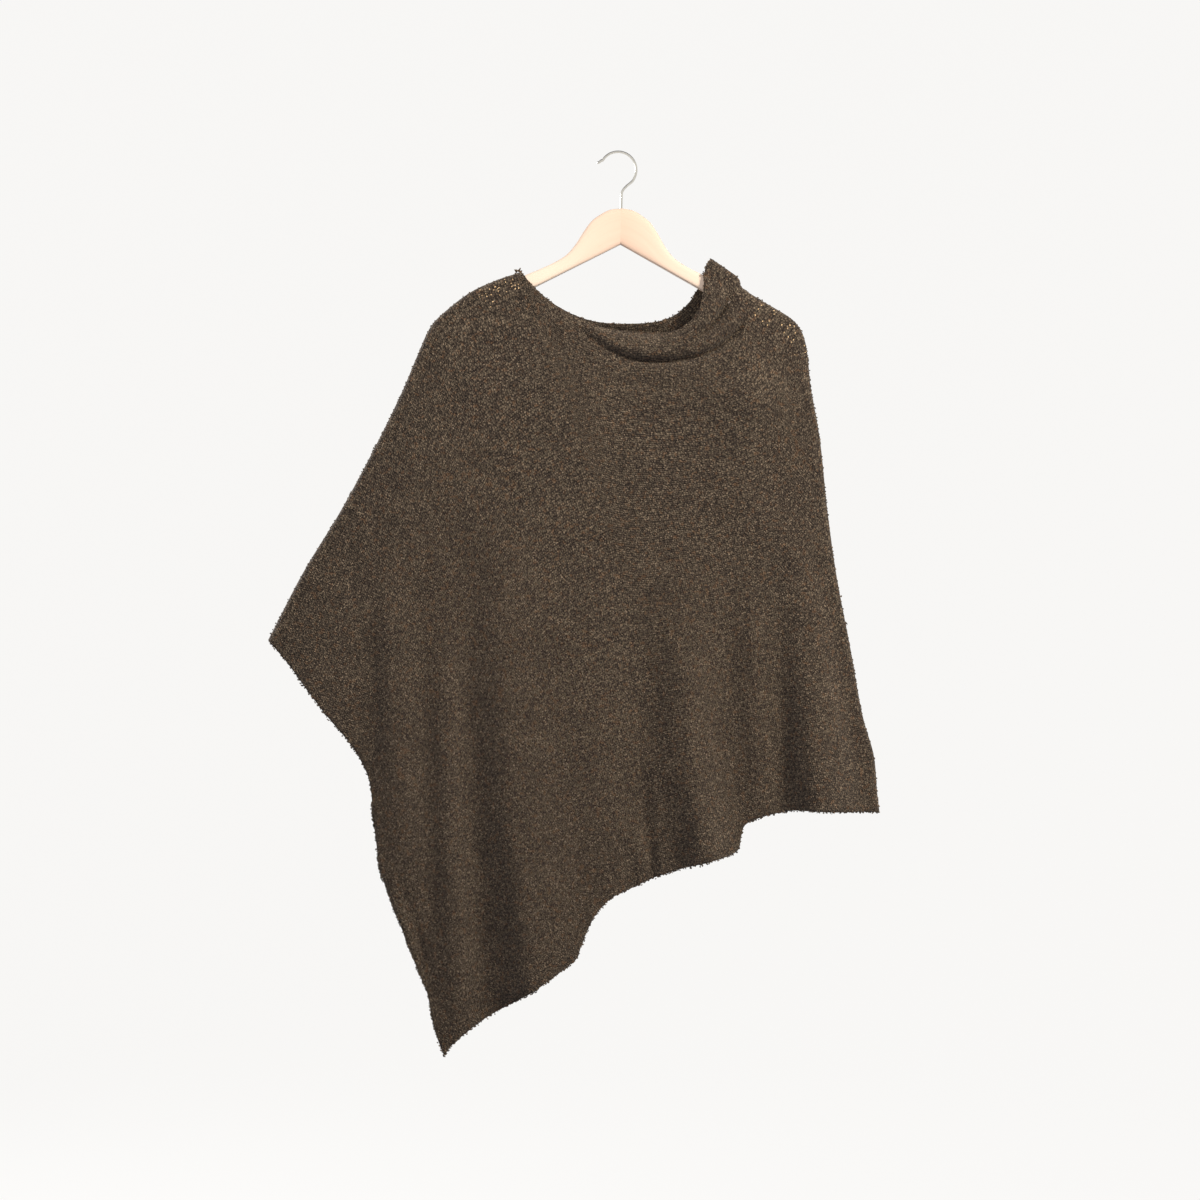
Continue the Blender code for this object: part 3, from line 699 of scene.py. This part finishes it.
def cloth_uv(panel):
    """Metres across and up the flat cloth. Where a closed edge turns, the way over the surface counts."""
    across, up = panel.across * FLAT_WIDTH, (1 - panel.down) * FLAT_LENGTH
    turned = len(CLOSED_EDGE) - 1
    over_fold = np.linalg.norm(np.diff(panel.points[:, -turned - 1 :], axis=1), axis=-1)
    across[:, -turned:] = across[:, [-turned - 1]] + np.cumsum(over_fold, axis=1)
    over_seam = np.linalg.norm(np.diff(panel.points[: turned + 1], axis=0), axis=-1)
    up[:turned] = up[turned] + np.cumsum(over_seam[::-1], axis=0)[::-1]
    return np.stack([across, up], axis=-1).reshape(-1, 2)


def cloth_piece(name, panel, node):
    """A panel's faces turned outwards, and a wall that is as thick on both sides of its middle surface."""
    rows, columns = panel.points.shape[:2]
    faces = grid_faces(rows, columns)
    if panel.outwards > 0:
        faces = faces[:, ::-1]
    stretched = stretched_at(panel.points).ravel()
    piece = new_piece(name, panel.points.reshape(-1, 3), faces, knit, cloth_uv(panel), stretched=stretched)
    wall = piece.modifiers.new("wall", "SOLIDIFY")
    wall.thickness, wall.offset = CLOTH_WALL, 0.0
    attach(piece, "root")
    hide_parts(node)
    return piece


front_cloth = cloth_piece("knit_front", front, "poncho_front")
back_cloth = cloth_piece("knit_back", back, "poncho_back")
print("one side of the front has", triangles_in(front_cloth), "triangles")

# %% [markdown]
# ## Tufts
#
# Nubby yarn stands up in a small tuft at each stitch. Modelling every loop of yarn would take millions
# of faces. A crooked little three-sided point is enough for each, because they stand under 3 mm apart.
# Half a panel's tufts are one mesh: a template of four points, scaled, turned and moved by arrays.
# Smooth shading rounds them off. The knots on the edges show from all round, so they have eight faces.

# %% Tufts by the thousand
Template = namedtuple("Template", "points faces")
TUFT = Template(
    np.array([(1, 0, -0.3), (-0.6, 0.85, -0.3), (-0.6, -0.85, -0.3), (0, 0, 1)], float),
    np.array([(0, 1, 3), (1, 2, 3), (2, 0, 3), (2, 1, 0)]),
)
KNOT = Template(
    np.array([(1, 0, 0), (0, 1, 0), (-1, 0, 0), (0, -1, 0), (0, 0, 1), (0, 0, -1)], float),
    np.array([(0, 1, 4), (1, 2, 4), (2, 3, 4), (3, 0, 4), (1, 0, 5), (2, 1, 5), (3, 2, 5), (0, 3, 5)]),
)


def on_panel(field, across, down):
    """Bilinear reading of a grid of values at these fractions across and down."""
    column = np.interp(across, cloth_lines[0], np.arange(len(cloth_lines[0])))
    row = np.interp(down, cloth_lines[1], np.arange(len(cloth_lines[1])))
    c0 = np.clip(column.astype(int), 0, field.shape[1] - 2)
    r0 = np.clip(row.astype(int), 0, field.shape[0] - 2)
    c, r = (column - c0)[:, None], (row - r0)[:, None]
    upper = field[r0, c0] * (1 - c) + field[r0, c0 + 1] * c
    lower = field[r0 + 1, c0] * (1 - c) + field[r0 + 1, c0 + 1] * c
    return upper * (1 - r) + lower * r


def unit(vectors):
    """Each vector divided by its own length."""
    return vectors / np.maximum(np.linalg.norm(vectors, axis=-1, keepdims=True), 1e-9)


def yarn_piece(name, points, faces, tone):
    """A piece in the tufts' finish, with one tone for each point."""
    piece = new_piece(name, points, faces, tufts_knit, tone=tone)
    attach(piece, "root")
    return piece


def scattered(name, template, centres, length_way, outward, sizes, tones, seed):
    """Each copy is the template times its half sizes along, across and outwards, its corners uneven."""
    outward = unit(outward)
    length_way = unit(length_way - (length_way * outward).sum(-1, keepdims=True) * outward)
    frames = np.stack([length_way, np.cross(outward, length_way), outward], axis=1)
    uneven = np.random.default_rng(seed).uniform(0.7, 1.3, (len(centres), len(template.points), 1))
    points = centres[:, None] + np.einsum("npk,nk,nkx->npx", template.points * uneven, sizes, frames)
    faces = template.faces + len(template.points) * np.arange(len(centres))[:, None, None]
    tone = np.repeat(tones, len(template.points))
    return yarn_piece(name, points.reshape(-1, 3), faces.reshape(-1, 3), tone)


STRAY = 0.2
TUFT_LEAST, TUFT_MOST = (1.2, 1.1, 0.8), (2.0, 1.8, 1.6)
SHRINKS_WHERE_STRETCHED = 0.75


def stitch_places(seed, across=(0, 1), down=(0, 1)):
    """Staggered rows of stitches as fractions across and down, each a little out of place."""
    chance = np.random.default_rng(seed)
    columns = np.arange(across[0] * FLAT_WIDTH, across[1] * FLAT_WIDTH, STITCH_ACROSS)
    rows = np.arange(down[0] * FLAT_LENGTH, down[1] * FLAT_LENGTH, STITCH_DOWN)
    u, v = np.meshgrid(columns, rows)
    u = u + (np.arange(len(rows)) % 2)[:, None] * STITCH_ACROSS / 2
    u = (u + chance.uniform(-STRAY, STRAY, u.shape) * STITCH_ACROSS).ravel() / FLAT_WIDTH
    v = (v + chance.uniform(-STRAY, STRAY, v.shape) * STITCH_DOWN).ravel() / FLAT_LENGTH
    keep = (u > 0.002) & (u < 0.999) & (v > 0.002) & (v < 0.999)
    return u[keep], v[keep]


def yarn_tones(chance, count):
    """Mostly middling tones, with one in twelve dark and one in fourteen a pale fleck."""
    tones = chance.normal(0.5, 0.13, count)
    kind = chance.random(count)
    return np.where(kind > 0.93, 0.86, np.where(kind < 0.08, 0.2, tones))


def tufts_on(name, panel, seed, outside=1, across=(0, 1), down=(0, 1)):
    """A tuft on each stitch, raised on the outer side, or on the inner side where outside is -1."""
    u, v = stitch_places(seed, across, down)
    chance = np.random.default_rng(seed + 1)
    normal = unit(on_panel(panel.normals, u, v)) * outside
    along = on_panel(np.gradient(panel.points, axis=1), u, v)
    downwards = on_panel(np.gradient(panel.points, axis=0), u, v)
    turn = chance.uniform(0, 2 * math.pi, len(u))[:, None]
    centre = on_panel(panel.points, u, v)
    half = chance.uniform(TUFT_LEAST, TUFT_MOST, (len(u), 3)) * MM
    half *= (1 - SHRINKS_WHERE_STRETCHED * stretched_at(centre))[:, None]
    centre = centre + normal * CLOTH_WALL / 2
    return scattered(
        name, TUFT, centre, np.cos(turn) * unit(along) + np.sin(turn) * unit(downwards), normal, half,
        yarn_tones(chance, len(u)), seed
    )


HALFWAY = 0.5
front_tufts = [
    tufts_on("tufts_front_upper", front, 101, down=(0, HALFWAY)),
    tufts_on("tufts_front_lower", front, 102, down=(HALFWAY, 1)),
]
back_tufts = [
    tufts_on("tufts_back_upper", back, 103, down=(0, HALFWAY)),
    tufts_on("tufts_back_lower", back, 104, down=(HALFWAY, 1)),
    tufts_on("tufts_inside_neck", back, 105, -1, across=(NECK_STARTS, 1), down=(0, 0.07)),
    tufts_on("tufts_inside_left", back, 106, -1, across=(0, 0.03), down=(0.2, 1)),
]
print("tufts", sum(triangles_in(piece) for piece in front_tufts + back_tufts), "triangles")

# %% [markdown]
# ## Rough edges
#
# Against a plain wall the edge of nubby knitting is a row of small loops and knots. They sit along the
# seam, the fold, the neck, the hem and the open side, each standing a little out of its edge.

# %% Knots along the edges
# For each side: whether it is a row (0) or a column (1) of the grid, which one, and one further in.
EDGES = {"top": (0, 2, 9), "hem": (0, -1, -4), "left": (1, 0, 3), "fold": (1, -3, -10)}
KNOT_LEAST, KNOT_MOST = (0.9, 0.7, 0.7), (1.9, 1.3, 1.3)
FURTHEST_OUT = 2.2 * MM


def edge_of(panel, side):
    """Points, normals and outward direction along one side of a panel."""
    axis, edge, inner = EDGES[side]
    points = np.take(panel.points, edge, axis)
    return points, np.take(panel.normals, edge, axis), unit(points - np.take(panel.points, inner, axis))


def knots_along(name, panel, side, seed, spacing=2.0 * MM):
    """Knots scattered along the edge, pushed out by up to 2.2 mm and turned at random."""
    points, normals, outward = edge_of(panel, side)
    along = from_start(points)
    chance = np.random.default_rng(seed)
    count = int(along[-1] / spacing)
    at = np.sort(chance.uniform(0, along[-1], count))

    def read(field):
        return np.stack([np.interp(at, along, column) for column in field.T], axis=1)

    out, normal = unit(read(outward)), unit(read(normals))
    push = chance.gamma(1.6, 0.42, count)[:, None] * MM
    lift = chance.uniform(-1.1, 1.1, count)[:, None] * MM
    centre = read(points) + out * np.minimum(push, FURTHEST_OUT) + normal * lift
    half = chance.uniform(KNOT_LEAST, KNOT_MOST, (count, 3)) * MM
    turned = unit(np.cross(out, normal)) + chance.normal(0, 0.6, (count, 3))
    return scattered(name, KNOT, centre, turned, out, half, yarn_tones(chance, count), seed)


front_knots = [knots_along(f"knots_front_{side}", front, side, 200 + n) for n, side in enumerate(EDGES)]
back_knots = [knots_along(f"knots_back_{side}", back, side, 210 + n) for n, side in enumerate(EDGES)]
print("knots", sum(triangles_in(piece) for piece in front_knots + back_knots), "triangles")

# %% [markdown]
# ## Thread ends
#
# Where the seam stops at the neck, the knitter left a small bunch of cut ends. Each is a thin tube along
# a short curve.

# %% Tubes along curves
# No tube here runs this way, so its cross product with a path is never nothing.
SLANT = (0.21, 0.93, 0.31)


def tube(path, radius, sides=6):
    """Rings of points of a radius, which may change, set square to the path."""
    way = unit(np.gradient(path, axis=0))
    across = unit(np.cross(way, SLANT))
    other = np.cross(way, across)
    angle = 2 * math.pi * np.arange(sides) / sides
    ring = across[:, None] * np.cos(angle)[:, None] + other[:, None] * np.sin(angle)[:, None]
    return path[:, None] + ring * np.broadcast_to(radius, len(path))[:, None, None]


def capped(points):
    """A tube's rings with a point added at each end, and triangles for its side and both ends."""
    rows, sides = points.shape[:2]
    flat = np.vstack([points.reshape(-1, 3), points[0].mean(0), points[-1].mean(0)])
    side = halved(grid_faces(rows, sides, closed=True)[:, ::-1])
    ring = np.arange(sides)
    after = (ring + 1) % sides
    first, last = rows * sides, rows * sides + 1
    start = np.stack([after, ring, np.full(sides, first)], axis=1)
    end = np.stack([(rows - 1) * sides + ring, (rows - 1) * sides + after, np.full(sides, last)], axis=1)
    return flat, np.vstack([side, start, end])


THREAD_RADIUS = 1.05 * MM
THREAD_ROOTS = ((-5, 3), (-3, 3), (-1.5, 0.5))


def thread_ends(name, root, count, seed):
    """Each end starts near the root, runs along its lean, and bends by half its curl times t^2."""
    chance = np.random.default_rng(seed)
    all_points, all_faces, start = [], [], 0
    for _ in range(count):
        lean = np.array([chance.normal(0, 0.6), chance.normal(0, 0.4), chance.uniform(0.5, 1.0)])
        length = chance.uniform(2.5, 5.5) * MM
        curl = np.array([chance.normal(0, 1.0), chance.normal(0, 0.6), chance.normal(-0.4, 0.4)])
        t = np.linspace(0, 1, 7)[:, None]
        begin = root + np.array([chance.uniform(*reach) for reach in THREAD_ROOTS]) * MM
        path = begin + length * (t * unit(lean) + 0.5 * t**2 * curl)
        points, faces = capped(tube(path, THREAD_RADIUS * (1.05 - 0.35 * t[:, 0])))
        all_points.append(points)
        all_faces.append(faces + start)
        start += len(points)
    points = np.vstack(all_points)
    return yarn_piece(name, points, np.vstack(all_faces), chance.uniform(0.2, 0.6, len(points)))


ends = thread_ends("seam_thread_ends", np.array([-120.0, 0.0, -143.5]) * MM, 9, 31)
print("thread ends", triangles_in(ends), "triangles")

# %% [markdown]
# The halves of the real oblong are one cloth at the fold and sewn together at the seam. Here a column of
# stitches fills the hair's breadth between the two panels, so that no light comes through.

# %% Joining column
JOINING_RADIUS = 1.15 * MM
JOINING_STEP = 3.0 * MM
JOINING_TONE = 0.42


def joining_column(name, line):
    """A round thread along the middle of both panels' closed edge, inside the thickness of the cloth."""
    place = at_fractions(line, np.linspace(0, 1, round(steps_of(line).sum() / JOINING_STEP)))
    path = np.stack([place[:, 0], np.zeros(len(place)), place[:, 1]], axis=-1)
    points, faces = capped(tube(path, JOINING_RADIUS, 8))
    return yarn_piece(name, points, faces, np.full(len(points), JOINING_TONE))


joined = [
    joining_column("stitches_in_seam", front_sides.seam),
    joining_column("stitches_in_fold", front_sides.fold),
]
print("joining columns", sum(triangles_in(piece) for piece in joined), "triangles")

# %% [markdown]
# ## The sheets
#
# Each half of the oblong measures 0.81 m across and 0.70 m from the seam to the hem.

print("flat", FLAT_WIDTH, "by", FLAT_LENGTH, "m, twice")

# %% [markdown]
# ## The hanger
#
# The hanger is two pieces of pale wood glued in the middle, sanded round and lacquered. Each arm is
# lofted: a row of rounded sections, each given by its top corner, bottom corner and thickness, measured
# from the notch under the middle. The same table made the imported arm, here with smoother steps.

# %% Wood
HANGER_TILT = math.radians(1.5)
NOTCH = in_metres(5.1, 0, -111.0)
ARM_SECTIONS = in_metres(
    (0, 44, 0, 0, 12), (14.5, 41.5, 10, -5.3, 12), (27, 34.5, 20, -10.7, 12),
    (36.5, 26.5, 30, -16, 12), (45.5, 13.5, 38, -20.3, 12), (54.5, -1.5, 46, -24.5, 12),
    (65.5, -14.5, 57, -30.4, 12), (80, -24, 72, -38.4, 12), (100.5, -34, 93, -49.6, 12),
    (123.5, -44, 116, -61.6, 12), (146, -54.5, 138, -72.7, 12), (169.5, -66.5, 160.5, -84.7, 12),
    (190, -79, 180, -96.3, 12), (205, -91, 193, -105, 12), (213, -100.5, 202, -112.5, 11),
    (217, -107.5, 208, -118, 9.5), (218, -112, 212, -119.5, 7), (217, -115.5, 214.5, -118.5, 3.5),
)
JOINT_GAP = 0.04 * MM
PALE_WOOD = (0.77, 0.62, 0.475)
WARM_WOOD = (0.66, 0.445, 0.32)
WOOD_PORE = (0.50, 0.34, 0.19, 1.0)
WARM_AS_FAR_AS = 90 * MM
SECTION_POWER = 0.55


def tilted(points):
    """Turned about the hook's contact point, so that +X goes down by the hanger's tilt."""
    c, s = math.cos(HANGER_TILT), math.sin(HANGER_TILT)
    x, y, z = points[..., 0], points[..., 1], points[..., 2]
    return np.stack([x * c + z * s, y, z * c - x * s], axis=-1)


def wood_finish(name, tone):
    """Long pale streaks along the arm, warmer by the middle, a few darker pores, and a satin lacquer."""
    finish = Finish(name, Roughness=0.38, Coat_Weight=0.15, Coat_Roughness=0.3)
    along = finish.node("ShaderNodeUVMap", {"uv_map": "surface"})["UV"]
    streaks = finish.noise(finish.mapped(along, (9, 420, 1)), 1.0, 4.0, 0.6)
    pores = finish.noise(finish.mapped(along, (60, 1500, 1)), 1.0)
    bands = finish.noise(finish.mapped(along, (3, 70, 1)), 1.0)
    place = finish.node("ShaderNodeTexCoord")["Object"]
    across = finish.node("ShaderNodeSeparateXYZ", {}, {"Vector": place})["X"]
    from_middle = finish.maths("ABSOLUTE", across - float(NOTCH[0]))
    warmth = finish.spread(from_middle, 0.0, WARM_AS_FAR_AS, 0.5 + tone, tone - 0.1)
    colour = finish.ramp(streaks * 0.4 + bands * 0.3 + warmth, (0.0, PALE_WOOD), (1.0, WARM_WOOD))
    dark = finish.spread(pores, 0.66, 0.74, 0.0, 0.35)
    finish.colour(finish.mix(dark, colour, WOOD_PORE))
    finish.bump(streaks * 0.5 + (1 - pores) * 0.5, 0.15 * MM, 0.5)
    return finish.material


def arm_piece(name, side, node, finish, around=40, steps=8):
    """Sections as squared-off ellipses: the sine and cosine raised to a power below 1."""
    sections = smooth_line(ARM_SECTIONS, steps)
    sections[0, [0, 2]] = JOINT_GAP / 2
    top, bottom = sections[:, 0:2], sections[:, 2:4]
    angle = 2 * math.pi * (np.arange(around) + 0.5) / around
    up = np.sign(np.sin(angle)) * abs(np.sin(angle)) ** SECTION_POWER
    out = np.sign(np.cos(angle)) * abs(np.cos(angle)) ** SECTION_POWER
    place = ((top + bottom)[:, None] + (top - bottom)[:, None] * up[:, None]) / 2
    y = sections[:, 4, None] / 2 * out
    points = np.stack([NOTCH[0] + side * place[..., 0], y, NOTCH[2] + place[..., 1]], axis=-1)
    flat, faces = capped(tilted(points))
    if side < 0:
        faces = faces[:, ::-1]
    length = from_start((top + bottom) / 2)
    girth = place[..., 1] - place[..., 1].mean(1, keepdims=True) + y
    uv = np.stack(np.broadcast_arrays(length[:, None], girth), axis=-1).reshape(-1, 2)
    # Each arm takes its grain from a place of its own.
    uv = np.vstack([uv, (0, 0), (length[-1], 0)]) + (0.7 * side, 0.3 * side)
    piece = new_piece(name, flat, faces, finish, uv)
    piece.data.set_sharp_from_angle(angle=math.radians(50))
    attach(piece, "root")
    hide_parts(node)
    return piece


left_arm = arm_piece("wood_left", -1, "hanger_arm_left", wood_finish("pale wood left", 0.0))
right_arm = arm_piece("wood_right", 1, "hanger_arm_right", wood_finish("pale wood right", 0.1))
print("wood", triangles_in(left_arm), "triangles an arm")

# %% [markdown]
# ## The hook
#
# The hook is one plated wire. Its middle line runs up out of the wood, sweeps sideways, goes round the
# bend and flares at the tip, and a round section is carried along it.

# %% Wire
WIRE_RADIUS = 1.5 * MM
BEND_RADIUS = 22.0 * MM
STEM_FOOT = -90.7 * MM


def hook_line():
    """Stem, sweep, arc and flare as one smooth line in the plane of the hanger."""
    middle = WIRE_RADIUS - BEND_RADIUS
    angle = np.radians(np.linspace(-38, 150, 16))
    arc = BEND_RADIUS * np.stack([np.cos(angle), np.sin(angle)], axis=1)
    sweep = in_metres((5.1, -38), (5.1, -31), (5.3, -27.4), (7.4, -23.2), (11.6, -18.6))
    stem = np.array([(NOTCH[0], STEM_FOOT - middle), (NOTCH[0], -55 * MM)])
    flare = in_metres((-20.4, 11.0), (-23.2, 8.6), (-25.6, 7.9))
    flat = smooth_line(np.vstack([stem, sweep, arc, flare]), 8)
    return tilted(np.stack([flat[:, 0], np.zeros(len(flat)), flat[:, 1] + middle], axis=1))


def steel_finish():
    """Bright plating with fine drawing lines in its roughness."""
    finish = Finish("plated steel wire", Metallic=1.0)
    place = finish.node("ShaderNodeTexCoord")["Object"]
    drawn = finish.noise(finish.mapped(place, (900, 900, 90)), 1.0)
    finish.colour(finish.ramp(drawn, (0.3, (0.57, 0.545, 0.49)), (0.7, (0.71, 0.69, 0.63))))
    finish.put(finish.shader.inputs["Roughness"], finish.spread(drawn, 0.3, 0.7, 0.26, 0.34))
    return finish.material


wire_line = hook_line()
radius = np.full(len(wire_line), WIRE_RADIUS)
radius[-4:] *= (0.97, 0.9, 0.75, 0.45)
wire_points, wire_faces = capped(tube(wire_line, radius, 20))
hook = new_piece("wire_hook", wire_points, wire_faces, steel_finish())
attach(hook, "root")
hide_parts("hanger_hook")
print("hook", triangles_in(hook), "triangles")

# %% [markdown]
# ## Studio
#
# The poncho hangs in front of plain off-white. A bowl-shaped sweep is floor and wall in one, wide enough
# for a camera to go all the way round inside it. It glows as a lit studio wall does. A large soft lamp
# from the upper right gives the folds their shade, a weak one from the upper left fills them in, and one
# behind, on the left, lights the back.

# %% Sweep
FLOOR = -1.75
BOWL_FLAT = 3.4
BOWL_RISE = 2.6
FLOOR_RING = 1.5
BOWL_HEIGHT = 6.0


def sweep_points(around=96):
    """A flat disc, a quarter circle up, and a straight wall, turned about the vertical axis."""
    bend = np.linspace(0, math.pi / 2, 16)
    radius = np.concatenate([[FLOOR_RING], BOWL_FLAT + BOWL_RISE * np.sin(bend), [BOWL_FLAT + BOWL_RISE]])
    height = np.concatenate([[0], BOWL_RISE * (1 - np.cos(bend)), [BOWL_HEIGHT]]) + FLOOR
    angle = 2 * math.pi * np.arange(around) / around
    radius, height = radius[:, None], height[:, None]
    return np.stack([radius * np.cos(angle), radius * np.sin(angle), height + 0 * angle], axis=-1)


# The glow gives nearly all of the off-white. The lamps add a little to it.
wall_finish = Finish(
    "studio sweep", Roughness=1.0, Base_Color=(0.05, 0.05, 0.05, 1.0), Specular_IOR_Level=0.0,
    Emission_Color=(0.915, 0.906, 0.890, 1.0), Emission_Strength=1.0,
)
bowl = sweep_points()
first_ring = np.arange(bowl.shape[1])
middle = np.full(len(first_ring), bowl.shape[0] * bowl.shape[1])
fan = np.stack([middle, first_ring, np.roll(first_ring, -1)], axis=1)
sweep = new_piece(
    "studio_sweep", np.vstack([bowl.reshape(-1, 3), (0, 0, FLOOR)]),
    np.vstack([halved(grid_faces(*bowl.shape[:2], closed=True)), fan]), wall_finish.material,
)
# The sweep lights and shades nothing, so that only the lamps shape the folds.
sweep.visible_diffuse = False
sweep.visible_shadow = False
print("floor at", FLOOR, "m")

# %% Lamps and camera
def soft_lamp(name, place, aim, size, power, colour=(1, 1, 1)):
    """A round lamp of a size in metres and a power in watts, turned from its place towards its aim."""
    data = bpy.data.lights.new(name, "AREA")
    data.shape, data.size, data.energy, data.color = "DISK", size, power, colour
    lamp = bpy.data.objects.new(name, data)
    way = np.array(aim, float) - np.array(place, float)
    lamp.location = place
    lean = math.acos(-way[2] / np.linalg.norm(way))
    lamp.rotation_euler = (lean, 0, math.atan2(way[1], way[0]) - math.pi / 2)
    bpy.context.scene.collection.objects.link(lamp)
    return lamp


key = soft_lamp("key lamp", (1.6, -1.7, 0.65), (0, 0, -0.4), 0.7, 86, (1.0, 0.985, 0.94))
fill = soft_lamp("fill lamp", (-0.45, -1.15, 0.45), (0, 0, -0.3), 0.8, 10.5, (0.97, 0.98, 1.0))
# The front's lamps would leave bright spots on the lacquer and the wire.
key.visible_glossy = fill.visible_glossy = False
soft_lamp("back lamp", (-2.15, 1.65, 0.15), (0, 0, -0.5), 0.8, 92)
world = bpy.data.worlds.new("studio air")
world.use_nodes = True
air = world.node_tree.nodes["Background"]
air.inputs["Color"].default_value = (0.97, 0.965, 1.09, 1)
air.inputs["Strength"].default_value = 0.295
bpy.context.scene.world = world
bpy.context.scene.view_settings.view_transform = "Standard"

# The frame is 1200 pixels square and 1.21 mm a pixel at the hanger, with the hook at pixel (618.5, 153).
PIXEL = 1.21 * MM
FRAME_PIXELS = 1200
HOOK_PIXEL = (618.5, 153)
CAMERA_DISTANCE = 3.0
frame_width = FRAME_PIXELS * PIXEL
camera_data = bpy.data.cameras.new("camera")
camera_data.sensor_fit = "HORIZONTAL"
camera_data.angle = 2 * math.atan(frame_width / 2 / CAMERA_DISTANCE)
camera = bpy.data.objects.new("camera", camera_data)
aside = (FRAME_PIXELS / 2 - HOOK_PIXEL[0]) * PIXEL
camera.location = (aside, -CAMERA_DISTANCE, (HOOK_PIXEL[1] - FRAME_PIXELS / 2) * PIXEL)
camera.rotation_euler = (math.pi / 2, 0, 0)
bpy.context.scene.collection.objects.link(camera)
bpy.context.scene.camera = camera
print("camera at", [round(c, 3) for c in camera.location])

# %% [markdown]
# ## Box corners
#
# A small helper turns a box's corners into plain numbers. The visual model has to stay the size of
# the imported one.

# %% Sizes
def plain(box):
    """A box's corners as plain numbers, which JSON can hold."""
    return [[float(value) for value in corner] for corner in box]
